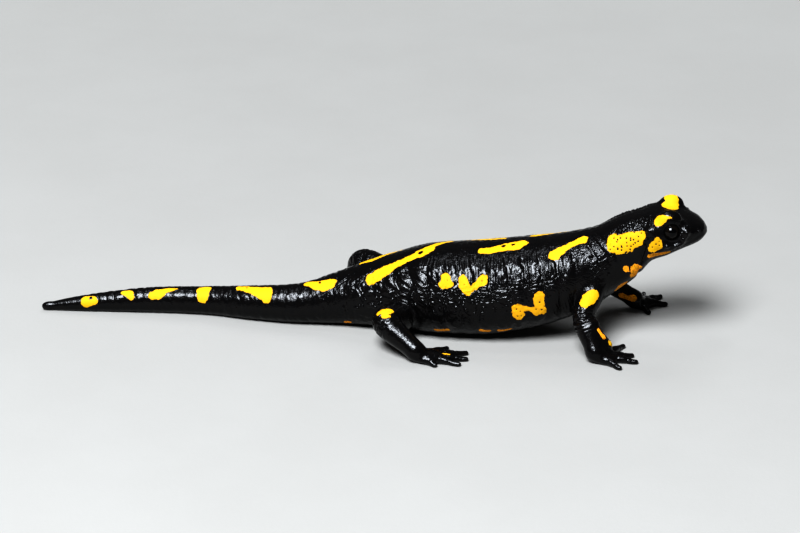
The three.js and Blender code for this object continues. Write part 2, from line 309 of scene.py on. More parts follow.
@dataclass(frozen=True)
class BodyPlan:
    """The body from tail to snout, as lines through its stations."""

    stations: tuple[Station, ...] = (
        Station(-90, 7.2, 0.5, 1.3, 0.35),
        Station(-88.2, 7.3, 0.1, 2.1, 0.95),
        Station(-76, 7.3, -0.1, 4.6, 2.3),
        Station(-60, 7.0, -0.2, 6.6, 3.2),
        Station(-46, 5.9, -0.2, 7.3, 3.6),
        Station(-33, 2.9, -0.2, 8.8, 4.4),
        Station(-20, 0.9, -0.2, 10.4, 5.1),
        Station(-9.5, 0.8, -0.2, 13.9, 6.6),
        Station(-1, 0.4, -0.2, 17.2, 8.5, 2.1),
        Station(7, -1.0, -0.2, 20.2, 10.2, 2.1),
        Station(16, -2.6, -0.3, 23.0, 12.2, 2.1),
        Station(28, -3.4, -0.3, 24.0, 13.2, 2.1),
        Station(40, -4.1, 1.6, 25.4, 12.9, 2.1),
        Station(50, -4.8, 4.8, 26.9, 11.8, 2.1),
        Station(58, -5.3, 8.6, 29.0, 10.0, 2.1),
        Station(65, -5.9, 13.6, 32.5, 8.2, 2.2),
        Station(69.6, -6.4, 17.6, 34.2, 8.0, 2.4),
        Station(73.4, -6.8, 22.7, 35.7, 8.7, 2.6),
        Station(77.4, -7.2, 24.6, 35.6, 8.1, 2.7),
        Station(81.2, -7.6, 26.1, 34.6, 6.9, 2.5),
        Station(84.6, -7.9, 27.5, 33.3, 5.1, 2.3),
        Station(86.3, -8.1, 28.7, 32.1, 3.2, 2.1),
        Station(87, -8.2, 29.7, 31.0, 1.1, 2.0),
    )
    swellings: tuple[Swelling, ...] = (
        Swelling(66.4, 40, 5.2, 26, 1.1),  # parotoid gland
        Swelling(73.4, 6, 2.6, 30, 0.5),  # jaw muscle
        Swelling(82.4, 28, 2.4, 30, 0.45),  # between eye and nostril
    )
    belly_square: float = 2.4
    widest: float = 0.46  # share of the height at which the body is widest
    turn_from: float = 62.0  # the head turns a little to the right from here
    turn_to: float = 76.0
    turn_slope: float = 0.11
    rings: int = 420
    sides: int = 144
    closer_ends: float = 0.055  # how much closer the rings stand towards both ends

    def line(self, key: str) -> SmoothLine:
        """The smooth line of one of the stations' sizes along the body."""
        return SmoothLine([s.x for s in self.stations], [getattr(s, key) for s in self.stations])


class Body:
    """The body's surface, and the way from points to places on it and back."""

    least: float = 0.3  # half widths and heights below this count as this where places are measured

    def __init__(self, plan: BodyPlan) -> None:
        """Makes the smooth lines of a plan."""
        self.plan = plan
        self.midline = plan.line("y")
        self.belly = plan.line("belly")
        self.back = plan.line("back")
        self.half = plan.line("half")
        self.square = plan.line("square")

    def turn(self, x: Array | float) -> Array:
        """How much further forward a point lies for each millimetre to the left, where the head turns."""
        return self.plan.turn_slope * ease(x, self.plan.turn_from, self.plan.turn_to)

    def middle(self, x: Array | float) -> Array:
        """The height at which the body is widest."""
        return self.belly(x) + (self.back(x) - self.belly(x)) * self.plan.widest

    def swelling(self, x: Array, up: Array) -> Array:
        """How far the swellings stand out at a place."""
        return sum(s.high * bell(x - s.x, s.long) * bell(up - s.up, s.wide) for s in self.plan.swellings)

    def ring(self, x: float) -> Array:
        """The body's outline in the plane at x, one point a row."""
        turn = np.arange(self.plan.sides) / self.plan.sides * 2 * np.pi
        across, up = np.cos(turn), np.sin(turn)
        power = 2 / np.where(up > 0, self.square(x), self.plan.belly_square)
        degrees = np.degrees(np.arcsin(np.clip(up, -1, 1)))
        out = self.swelling(np.full_like(turn, x), degrees)
        high = np.where(up > 0, self.back(x) - self.middle(x), self.middle(x) - self.belly(x))
        y = np.sign(across) * np.abs(across) ** power * self.half(x) + across * out
        z = np.sign(up) * np.abs(up) ** power * high + up * out
        return columns(x + y * self.turn(x), self.midline(x) + y, self.middle(x) + z)

    def surface(self) -> tuple[Array, Array, Array]:
        """A closed mesh of the whole body.

        Returns:
            The points, the quads and the triangles that close the two ends.
        """
        first, last = self.plan.stations[0].x, self.plan.stations[-1].x
        share = np.linspace(0, 1, self.plan.rings)
        share = share - self.plan.closer_ends * np.sin(share * 2 * np.pi) / np.pi
        rings = [self.ring(first + (last - first) * at) for at in share]
        points = np.vstack([*rings, rings[0].mean(axis=0), rings[-1].mean(axis=0)])
        return points, *tube_faces(self.plan.rings, self.plan.sides)

    def point(self, along: float, up: float, side: Side) -> Array:
        """The point on the surface at a place on the body.

        Args:
            along: Length along the body.
            up: Degrees up from the side.
            side: Which side of the animal.

        Returns:
            The point in the animal's own measure.
        """
        across, rise = math.cos(math.radians(up)), math.sin(math.radians(up))
        power = float(self.square(along)) if rise > 0 else self.plan.belly_square
        reach = (abs(across) ** power + abs(rise) ** power) ** (-1 / power)
        high = self.back(along) - self.middle(along) if rise > 0 else self.middle(along) - self.belly(along)
        out = float(self.swelling(np.array(along), np.array(up)))
        y = side.value * (reach * across * float(self.half(along)) + across * out)
        z = reach * rise * float(high) + rise * out
        return np.array([along + y * self.turn(along), self.midline(along) + y, self.middle(along) + z])

    def places(self, points: Array) -> Places:
        """Where points lie along and round the body."""
        along = points[:, 0].copy()
        for _ in range(4):
            along = points[:, 0] - (points[:, 1] - self.midline(along)) * self.turn(along)
        y = points[:, 1] - self.midline(along)
        z = points[:, 2] - self.middle(along)
        high = np.where(z > 0, self.back(along) - self.middle(along), self.middle(along) - self.belly(along))
        half = np.maximum(self.half(along), self.least)
        up = np.degrees(np.arctan2(z / np.maximum(high, self.least), np.abs(y) / half))
        arc = np.radians(up) * (half + high) / 2
        return Places(along, np.where(y < 0, -1.0, 1.0), up, arc)


# ---- Limbs ------------------------------------------------------------------------------------------


@dataclass(frozen=True)
class PawPlan:
    """A palm or sole: its length, half width and thickness."""

    length: float
    half: float
    thick: float


@dataclass(frozen=True)
class LimbPlan:
    """The lie of a limb.

    Attributes:
        name: The limb's name.
        kind: Whether it is a fore limb or a hind one.
        joints: Points from inside the body to the wrist or ankle.
        heading: The palm's or sole's direction in degrees.
        digits: Each digit's direction in degrees and its reach.
        pad: Fuller flesh on one side, as points and the radius round each.
    """

    name: str
    kind: LimbKind
    joints: tuple[Triple, ...]
    heading: float
    digits: tuple[tuple[float, float], ...]
    pad: tuple[Quad, ...] = ()

    @property
    def radii(self) -> tuple[float, ...]:
        """The limb's radius at each joint."""
        return (3.3, 3.2, 2.7, 2.2) if self.kind is LimbKind.ARM else (4.0, 3.9, 3.6, 2.5)

    @property
    def paw(self) -> PawPlan:
        """The palm or sole at the limb's end."""
        return PawPlan(5.0, 2.9, 1.5) if self.kind is LimbKind.ARM else PawPlan(6.6, 3.3, 1.6)


LIMBS = (
    LimbPlan(
        "arm_right", LimbKind.ARM,
        ((59, -9.5, 18), (56.9, -14.8, 14.4), (54.6, -20, 10.0), (57.4, -25, 2.9)),
        4, ((-38, 8.4), (-7, 11.3), (14, 10.8), (45, 12.0)),
        ((56.9, -21.8, 9.0, 1.7), (58.1, -22.5, 6.0, 1.95), (60.3, -22.8, 3.6, 1.8)),
    ),
    LimbPlan(
        "arm_left", LimbKind.ARM,
        ((60, -1.5, 17), (60.8, 4.2, 13.6), (62.8, 9.4, 7.6), (70.4, 8.0, 3.0)),
        22, ((-46, 5.8), (10, 9.4), (40, 10.6), (68, 9.4)),
    ),
    LimbPlan(
        "leg_right", LimbKind.LEG,
        ((9, -4.5, 6.2), (7.6, -10.5, 6.4), (3.2, -17.2, 7.7), (10.6, -24.4, 3.1)),
        -2, ((-36, 7.0), (-16, 12.4), (-1, 13.9), (14, 14.4), (36, 11.0)),
    ),
    LimbPlan(
        "leg_left", LimbKind.LEG,
        ((7, 3.5, 8.0), (4.2, 8.5, 9.4), (-2.9, 14.4, 10.8), (-5.6, 21.2, 3.1)),
        46, ((0, 10.2), (24, 13.2), (46, 14.0), (68, 12.4), (94, 8.2)),
    ),
)


@dataclass(frozen=True)
class Rod:
    """A round rod along a path with a radius at each of its points."""

    path: Array
    radii: Array

    def distance(self, x: Array, y: Array, z: Array) -> Array:
        """The distance from each point of a grid to the rod's surface."""
        nearest = np.full(np.broadcast_shapes(x.shape, y.shape, z.shape), 1e3, dtype=np.float32)
        for i in range(len(self.path) - 1):
            nearest = np.minimum(nearest, self._gap(i, (x, y, z))[1])
        return nearest

    def _gap(self, i: int, axes: tuple[Array, ...]) -> tuple[Array, Array]:
        """Where points lie along the step from one point of the path to the next, and how far from it."""
        a, step = self.path[i], self.path[i + 1] - self.path[i]
        t = sum((line - a[k]) * step[k] for k, line in enumerate(axes)) / float(step @ step)
        t = np.clip(t, 0.0, 1.0)
        gap = np.sqrt(sum((line - a[k] - t * step[k]) ** 2 for k, line in enumerate(axes)))
        return t, gap - (self.radii[i] + (self.radii[i + 1] - self.radii[i]) * t)

    def box(self, room: float) -> tuple[Array, Array]:
        """The lowest and highest corner of the space round the rod."""
        reach = float(self.radii.max()) + room
        return self.path.min(axis=0) - reach, self.path.max(axis=0) + reach

    def shares(self) -> Array:
        """How far along the rod each point of its path lies, from 0 to 1."""
        steps = lengths(self.path)
        return steps / steps[-1]

    def skin_point(self, share: float, turn: float) -> Array:
        """The point of the rod's surface at a share of its length.

        Args:
            share: How far along the rod, from 0 to 1.
            turn: Degrees round the rod from its upper side.

        Returns:
            The point in the animal's own measure.
        """
        shares = self.shares()
        i = int(np.clip(np.searchsorted(shares, share) - 1, 0, len(shares) - 2))
        t = (share - shares[i]) / (shares[i + 1] - shares[i])
        step = self.path[i + 1] - self.path[i]
        along = step / np.linalg.norm(step)
        up = np.array([0.0, 0.0, 1.0]) - along * along[2]
        up /= np.linalg.norm(up)
        out = up * math.cos(math.radians(turn)) + np.cross(along, up) * math.sin(math.radians(turn))
        return self.path[i] + step * t + out * (self.radii[i] + (self.radii[i + 1] - self.radii[i]) * t)

    def reading(self, points: Array, room: float = 3.0) -> tuple[Array, Array]:
        """How far along the rod points lie, and how far from its surface.

        Args:
            points: Points in the animal's own measure.
            room: Points further off than this count as far away.

        Returns:
            The share of the rod's length at each point, and the distance to the rod's surface.
        """
        low, high = self.box(room)
        close = np.flatnonzero(np.all((points > low) & (points < high), axis=1))
        gap, at = np.full(len(points), 50.0), np.zeros(len(points))
        shares, axes = self.shares(), tuple(points[close].T)
        nearest, where = np.full(len(close), 1e3), np.zeros(len(close))
        for i in range(len(self.path) - 1):
            t, away = self._gap(i, axes)
            closer = away < nearest
            nearest = np.where(closer, away, nearest)
            where = np.where(closer, shares[i] + (shares[i + 1] - shares[i]) * t, where)
        at[close], gap[close] = where, nearest
        return at, gap


class Limb:
    """A limb as rods: one from the body to the wrist or ankle, and one for each digit."""

    joint_steps: int = 8  # steps of the path from one joint to the next
    digit_steps: int = 5
    digit_shares: tuple[float, ...] = (0, 0.28, 0.5, 0.68, 0.82, 0.93, 1)
    digit_radii: tuple[float, ...] = (1.75, 1.25, 1.1, 0.95, 0.78, 0.74, 0.66)
    knuckle: float = 1.15  # height of a digit's middle joint
    pressed: float = 0.15  # how far soles and digit tips are pressed on the ground

    def __init__(self, plan: LimbPlan) -> None:
        """Works out the limb's rods from its plan."""
        self.plan = plan
        joints = np.array(plan.joints, dtype=float)
        path = smooth_path(joints, self.joint_steps)
        steps = lengths(path)
        self.length = float(steps[-1])
        shares = steps / self.length
        at_joints = [float(share) for share in shares[:: self.joint_steps]]
        self.bend = at_joints[2]
        self.shaft = Rod(path, SmoothLine(at_joints, list(plan.radii))(shares))
        self.digits = [self._digit(angle, reach) for angle, reach in plan.digits]

    def paw_box(self) -> tuple[Array, Array]:
        """The lowest and highest corner of the space round the paw."""
        paths = np.vstack([digit.path for digit in self.digits])
        low, high = paths.min(axis=0) - 3.0, paths.max(axis=0) + 3.0
        return np.array([low[0], low[1], -2.0]), np.array([high[0], high[1], 5.0])

    def palm_distance(self, x: Array, y: Array, z: Array) -> Array:
        """The rough distance from each point of a grid to the flattened palm or sole."""
        paw = self.plan.paw
        turn = math.radians(self.plan.heading)
        middle = self._towards(self.plan.heading, paw.length * 0.52, paw.thick * 0.9 - self.pressed)
        a = (x - middle[0]) * math.cos(turn) + (y - middle[1]) * math.sin(turn)
        b = (y - middle[1]) * math.cos(turn) - (x - middle[0]) * math.sin(turn)
        return ball(np.zeros(3), (paw.length * 0.62, paw.half * 0.95, paw.thick * 0.95))(a, b, z - middle[2])

    def _towards(self, degrees: float, length: float, height: float) -> Array:
        """A point at a heading and length from the wrist or ankle, at a height."""
        wrist = self.plan.joints[-1]
        turn = math.radians(degrees)
        return np.array([wrist[0] + math.cos(turn) * length, wrist[1] + math.sin(turn) * length, height])

    def _digit(self, angle: float, reach: float) -> Rod:
        """A digit's rod, from the wrist or ankle through the palm to its tip."""
        paw, heading = self.plan.paw, self.plan.heading
        spread = angle - heading
        sole = paw.thick * 0.8 - self.pressed
        wrist = np.array(self.plan.joints[-1], dtype=float)
        wrist[2] = max(wrist[2] - 0.3, 1.6)
        tip = self.digit_radii[-1]
        joints = np.array([
            wrist,
            self._towards(heading + spread * 0.75, paw.length * 0.55, sole + 0.25),
            self._towards(heading + spread * 0.92, reach * 0.66, self.knuckle - 0.1),
            self._towards(angle, reach * 0.87, tip - self.pressed),
            self._towards(angle, reach - tip * 0.8, tip - self.pressed),
        ])
        path = smooth_path(joints, self.digit_steps)
        steps = lengths(path)
        radii = SmoothLine(list(self.digit_shares), list(self.digit_radii))
        return Rod(path, radii(steps / steps[-1]))


# ---- The head's measure -----------------------------------------------------------------------------


@dataclass(frozen=True)
class EyePlan:
    """Where the eyes stand, how large they are and how their lids lie."""

    x: float = 77.8
    out: float = 6.7
    z: float = 32.2
    radius: float = 2.2
    forward: float = 0.16  # how far the eye looks ahead and up, as a share of looking out
    upward: float = 0.22
    lid_reach: Triple = (3.3, 2.3, 2.75)
    lid_shift: Triple = (-0.35, -1.45, 2.45)  # from the eye's middle: ahead, out and up
    lid_soft: float = 1.5  # how softly the lid, its rim and the opening join the head
    rim_soft: float = 0.45
    opening_soft: float = 0.3
    rim_radius: float = 2.12
    rim_thick: float = 0.25
    opening: float = 2.0  # radius of the hollow for the eyeball, and how far out it lies
    opening_out: float = 0.75

    def centre(self, body: Body, side: Side) -> Array:
        """The middle of one eyeball."""
        y = side.value * self.out
        return np.array([self.x + y * body.turn(self.x), body.midline(self.x) + y, self.z])

    def axes(self, side: Side) -> tuple[Array, Array, Array]:
        """The direction in which one eye looks, and the directions across it and up."""
        gaze = np.array([self.forward, side.value, self.upward])
        gaze = gaze / np.linalg.norm(gaze)
        across = np.cross(gaze, [0.0, 0.0, 1.0])
        across /= np.linalg.norm(across)
        return gaze, across, np.cross(across, gaze)


@dataclass(frozen=True)
class MouthPlan:
    """The mouth line as heights along x, and how deep it is pressed in."""

    line: tuple[tuple[float, float], ...] = (
        (71.0, 25.6), (74.0, 26.4), (77.0, 26.9), (80.0, 27.4), (83.0, 28.2), (86.0, 29.2), (89.0, 29.9),
    )
    corner: float = 71.8
    deep: float = 0.34
    wide: float = 0.2

    def heights(self) -> SmoothLine:
        """The mouth line as a smooth line along x."""
        return SmoothLine([x for x, _ in self.line], [z for _, z in self.line])


# ---- Clay: one field of distances -------------------------------------------------------------------


class Clay:
    """The animal's form as distances on a grid, joined and cut smoothly, then turned into one mesh."""

    def __init__(self, low: Array, high: Array, voxel: float) -> None:
        """Makes an empty grid between two corners."""
        self.voxel = voxel
        self.start = np.floor(low / voxel).astype(int)
        self.shape = tuple(int(n) for n in np.ceil(high / voxel).astype(int) - self.start + 1)
        self.far = np.full(self.shape, FAR, dtype=np.float32)

    def window(self, low: Array, high: Array) -> tuple[tuple[slice, ...], tuple[Array, Array, Array]]:
        """The part of the grid between two corners.

        Args:
            low: The lowest corner.
            high: The highest corner.

        Returns:
            The slices of the grid, and the x, y and z of its points, ready to broadcast.
        """
        first = np.clip(np.floor(low / self.voxel).astype(int) - self.start, 0, np.array(self.shape) - 1)
        last = np.clip(np.ceil(high / self.voxel).astype(int) - self.start + 1, 1, self.shape)
        slices = tuple(slice(int(a), int(b)) for a, b in zip(first, last))
        axes = []
        for axis, part in enumerate(slices):
            line = (np.arange(part.start, part.stop) + self.start[axis]) * self.voxel
            shape = [1, 1, 1]
            shape[axis] = -1
            axes.append(line.astype(np.float32).reshape(shape))
        return slices, (axes[0], axes[1], axes[2])

    def lay(self, points: Array, quads: Array, triangles: Array) -> None:
        """Fills the grid with the distances from a closed mesh."""
        transform = openvdb.createLinearTransform(voxelSize=self.voxel)
        grid = openvdb.FloatGrid.createLevelSetFromPolygons(
            points.astype(np.float32), triangles=triangles.astype(np.uint32), quads=quads.astype(np.uint32),
            transform=transform, halfWidth=FAR / self.voxel,
        )
        grid.copyToArray(self.far, ijk=tuple(int(n) for n in self.start))

    @staticmethod
    def join(a: Array, b: Array, soft: Array | float) -> Array:
        """The union of two fields, with a fillet about as wide as soft."""
        soft = np.maximum(soft, 1e-3)
        overlap = np.maximum(soft - np.abs(a - b), 0.0) / soft
        return np.minimum(a, b) - overlap * overlap * soft * 0.25

    def touched(self, touches: list["Touch"]) -> "Clay":
        """A copy of the clay with the touches made on it in order."""
        made = copy.copy(self)
        made.far = self.far.copy()
        for touch in touches:
            part, (x, y, z) = made.window(touch.low, touch.high)
            made.far[part] = touch.onto(made.far[part], x, y, z)
        return made

    def read_touched(self, points: Array, touches: list["Touch"]) -> Array:
        """The distance at points, with the touches worked out at each point and not on the grid."""
        far = self.read(points)
        for touch in touches:
            inside = np.all((points > touch.low) & (points < touch.high), axis=1)
            if inside.any():
                far[inside] = touch.onto(far[inside], *points[inside].T)
        return far

    def read(self, points: Array) -> Array:
        """The distance at points, read between the grid's own."""
        place = points / self.voxel - self.start
        low = np.clip(np.floor(place).astype(int), 0, np.array(self.shape) - 2)
        return sum(weight * self.far[tuple(cell.T)] for cell, weight in corners(low, place - low))

    def surface(self) -> tuple[Array, Array]:
        """The clay's surface as points and quads."""
        transform = openvdb.createLinearTransform(voxelSize=self.voxel)
        grid = openvdb.FloatGrid(FAR)
        grid.transform = transform
        grid.gridClass = openvdb.GridClass.LEVEL_SET
        grid.copyFromArray(self.far, ijk=tuple(int(n) for n in self.start), tolerance=1e-4)
        points, quads = grid.convertToQuads(0.0)
        return points.astype(float), quads[:, ::-1].astype(int)


@dataclass(frozen=True)
class Touch:
    """One touch on the clay: a form joined to it, or taken out of it, inside a box."""

    low: Array
    high: Array
    form: Callable[..., Array]
    soft: float | Callable[..., Array]
    takes: bool = False

    def onto(self, far: Array, x: Array, y: Array, z: Array) -> Array:
        """The field after this touch.

        Args:
            far: The field before it.
            x: The points' x.
            y: The points' y.
            z: The points' z.

        Returns:
            The new distances.
        """
        soft = self.soft(x, y, z) if callable(self.soft) else self.soft
        form = self.form(x, y, z)
        far = -Clay.join(-far, form, soft) if self.takes else Clay.join(far, form, soft)
        return far.astype(np.float32)


# ---- The skin's shape -------------------------------------------------------------------------------


class Mesh:
    """A mesh in the animal's own measure, with what shaping it needs."""

    def __init__(self, points: Array, faces: Array) -> None:
        """Keeps the points and faces and finds each edge once."""
        self.points = points
        self.faces = faces
        corners = faces.shape[1]
        around = np.vstack([faces[:, [i, (i + 1) % corners]] for i in range(corners)])
        keys = np.unique(around.min(axis=1).astype(np.int64) * len(points) + around.max(axis=1))
        self.edges = columns(keys // len(points), keys % len(points))
        self.degree = np.bincount(self.edges.ravel(), minlength=len(points)).astype(float)

    def spread(self, values: Array) -> Array:
        """Each point's mean of its neighbours' values."""
        a, b = self.edges.T
        count = len(self.points)
        total = np.bincount(a, values[b], count) + np.bincount(b, values[a], count)
        return total / self.degree

    def relax(self, rounds: int, forth: float = 0.5, back: float = -0.52) -> None:
        """Smooths the points with steps forth and back, so that nothing shrinks."""
        for _ in range(rounds):
            for step in (forth, back):
                mean = columns(*[self.spread(values) for values in self.points.T])
                self.points = self.points + (mean - self.points) * step

    def normals(self) -> Array:
        """The direction outwards at each point."""
        corners = self.points[self.faces]
        last = corners.shape[1] - 1
        face = np.cross(corners[:, 2] - corners[:, 0], corners[:, last] - corners[:, 1])
        total = np.zeros_like(self.points)
        for corner in range(last + 1):
            for axis in range(3):
                total[:, axis] += np.bincount(self.faces[:, corner], face[:, axis], len(self.points))
        return total / np.maximum(np.linalg.norm(total, axis=1, keepdims=True), 1e-12)

    def refined(self, chosen: Array) -> "Mesh":
        """A mesh of triangles in which the chosen quads are twice as fine.

        Args:
            chosen: For each quad, whether it is split.

        Returns:
            The finer mesh, with no open edge where fine and coarse meet.
        """
        count = len(self.points)
        quads = self.faces
        sides = np.stack([quads, np.roll(quads, -1, axis=1)], axis=2)
        keys = sides.min(axis=2).astype(np.int64) * count + sides.max(axis=2)
        split = np.unique(keys[chosen])
        place = np.clip(np.searchsorted(split, keys), 0, len(split) - 1)
        halved = split[place] == keys
        middle = count + place
        ends = columns(split // count, split % count)
        touched = np.flatnonzero(halved.any(axis=1))
        centre = count + len(split) + np.arange(len(touched))
        middles = [self.points[part].mean(axis=1) for part in (ends, quads[touched])]
        pieces = []
        for k in range(4):
            here, after = quads[touched, k], quads[touched, (k + 1) % 4]
            cut = halved[touched, k]
            mid = middle[touched, k]
            pieces.append(columns(here, mid, centre)[cut])
            pieces.append(columns(mid, after, centre)[cut])
            pieces.append(columns(here, after, centre)[~cut])
        whole = quads[~halved.any(axis=1)]
        pieces += [whole[:, [0, 1, 2]], whole[:, [0, 2, 3]]]
        return Mesh(np.vstack([self.points, *middles]), np.vstack(pieces))


class SkinShape:
    """The animal's form: body, limbs and head joined into one closed skin."""

    low: Triple = (-93.0, -42.0, -3.0)  # corners of the space that holds the animal
    high: Triple = (90.0, 34.0, 41.0)
    voxel: float = 0.3
    web: float = 0.5  # fillets between digits, round the palm and its pad, and at the wrist
    palm_fillet: float = 0.9
    pad_fillet: float = 1.5
    wrist_fillet: float = 1.6
    root_fillet: float = 2.8  # fillet where a limb leaves the body, and how far down the limb it fades
    root_reach: float = 9.0
    tail_tip: Triple = (-88.9, 7.25, 1.15)
    tail_tip_reach: Triple = (1.25, 0.75, 0.95)
    finer_from: float = -14.0  # ahead of here the skin is twice as fine
    settle_rounds: int = 3
    settle_step: float = 0.25

    def __init__(self, body: Body, limbs: list[Limb], eyes: EyePlan) -> None:
        """Keeps the parts that the skin is shaped from."""
        self.body = body
        self.limbs = limbs
        self.eyes = eyes

    def build(self) -> Mesh:
        """Models the form and returns its surface, finer on trunk, head and paws."""
        low, high = np.array(self.low), np.array(self.high)
        clay = Clay(low, high, self.voxel)
        clay.lay(*self.body.surface())
        touches = [self._limb_touch(limb) for limb in self.limbs]
        touches += [touch for side in Side for touch in self._eye_touches(side)]
        tip = np.array(self.tail_tip)
        touches.append(Touch(tip - 2.5, tip + 2.5, ball(tip, self.tail_tip_reach), 1.2))
        ground = np.array([high[0], high[1], -low[2]])
        touches.append(Touch(low, ground, lambda x, y, z: z + 0 * (x + y), 0.02, takes=True))
        mesh = Mesh(*clay.touched(touches).surface())
        middles = mesh.points[mesh.faces].mean(axis=1)
        ahead = middles[:, 0] > self.finer_from
        for limb in self.limbs:
            low, high = limb.paw_box()
            ahead |= np.all((middles > low) & (middles < high), axis=1)
        mesh = mesh.refined(ahead)
        mesh.relax(2)
        for _ in range(self.settle_rounds):
            step = np.clip(clay.read_touched(mesh.points, touches), -self.settle_step, self.settle_step)
            mesh.points = mesh.points - mesh.normals() * step[:, None]
        mesh.relax(1)
        return mesh

    def _eye_touches(self, side: Side) -> list[Touch]:
        """The swollen upper lid, the rim of both lids and the opening between them."""
        eyes = self.eyes
        centre = eyes.centre(self.body, side)
        gaze, across, rise = eyes.axes(side)
        ahead, out, up = eyes.lid_shift
        lid = centre + np.array([ahead, side.value * out, up])
        turn = np.linspace(0, 2 * np.pi, 33)[:, None]
        depth = math.sqrt(eyes.radius**2 - eyes.rim_radius**2) - 0.1
        ring = centre + gaze * depth + (across * np.cos(turn) + rise * np.sin(turn)) * eyes.rim_radius
        rim = Rod(ring, eyes.rim_thick * (1.0 + 0.25 * np.sin(turn[:, 0])))
        hollow = centre + gaze * eyes.opening_out
        opening = ball(hollow, (eyes.opening,) * 3)
        return [
            Touch(lid - 4.2, lid + 4.2, ball(lid, eyes.lid_reach), eyes.lid_soft),
            Touch(*rim.box(1.0), rim.distance, eyes.rim_soft),
            Touch(hollow - 2.4, hollow + 2.4, opening, eyes.opening_soft, takes=True),
        ]

    def _limb_touch(self, limb: Limb) -> Touch:
        """A limb with its palm and digits, joined to the body with a fillet."""
        boxes = [rod.box(self.root_fillet) for rod in (limb.shaft, *limb.digits)]
        root = limb.shaft.path[0]

        def form(x: Array, y: Array, z: Array) -> Array:
            """The distance to the whole limb."""
            paw = np.full(np.broadcast_shapes(x.shape, y.shape, z.shape), 1e3, dtype=np.float32)
            for rod in limb.digits:
                paw = Clay.join(paw, rod.distance(x, y, z), self.web)
            paw = Clay.join(paw, limb.palm_distance(x, y, z), self.palm_fillet)
            if limb.plan.pad:
                pad = np.array(limb.plan.pad)
                paw = Clay.join(paw, Rod(pad[:, :3], pad[:, 3]).distance(x, y, z), self.pad_fillet)
            return Clay.join(limb.shaft.distance(x, y, z), paw, self.wrist_fillet)

        def soft(x: Array, y: Array, z: Array) -> Array:
            """A fillet that is wide at the limb's root and narrow at the paw."""
            away = np.sqrt((x - root[0]) ** 2 + (y - root[1]) ** 2 + (z - root[2]) ** 2)
            return self.root_fillet * bell(away, self.root_reach) + 0.2

        low, high = zip(*boxes)
        return Touch(np.min(low, axis=0), np.max(high, axis=0), form, soft)


# ---- From the animal to the frame -------------------------------------------------------------------


class Measure:
    """Turns the animal's own millimetres into the frame's metres."""

    def __init__(self, body: Body, eyes: EyePlan) -> None:
        """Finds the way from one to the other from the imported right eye."""
        low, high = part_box("eye_right")
        packed = (np.array(low) + np.array(high)) / 2 / MM
        self.offset = packed - eyes.centre(body, Side.RIGHT)
        self.offset[2] = 0.0

    def metres(self, points: Array) -> Array:
        """Points of the animal's own measure, in the frame."""
        return (points + self.offset) * MM


def blender_mesh(name: str, points: Array, faces: Array) -> bpy.types.Object:
    """A smooth-shaded mesh object from points in metres and faces of one size.

    Args:
        name: The object's name.
        points: One point a row.
        faces: The point numbers of one face a row.

    Returns:
        The new object, linked to the scene.
    """
    mesh = bpy.data.meshes.new(name)
    count, corners = faces.shape
    mesh.vertices.add(len(points))
    mesh.vertices.foreach_set("co", points.astype(np.float32).ravel())
    mesh.loops.add(count * corners)
    mesh.loops.foreach_set("vertex_index", faces.astype(np.int32).ravel())
    mesh.polygons.add(count)
    mesh.polygons.foreach_set("loop_start", np.arange(0, count * corners, corners, dtype=np.int32))
    mesh.update(calc_edges=True)
    mesh.validate()
    mesh.shade_smooth()
    made = bpy.data.objects.new(name, mesh)
    bpy.context.scene.collection.objects.link(made)
    return made


def add_layer(piece: bpy.types.Object, name: str, values: Array) -> None:
    """Keeps a number or a vector for each point of a mesh, for its material to read."""
    kind, key = ("FLOAT", "value") if values.ndim == 1 else ("FLOAT_VECTOR", "vector")
    layer = piece.data.attributes.new(name, kind, "POINT")
    layer.data.foreach_set(key, values.astype(np.float32).ravel())


# ---- Relief: folds, grooves and pores -----------------------------------------------------------------


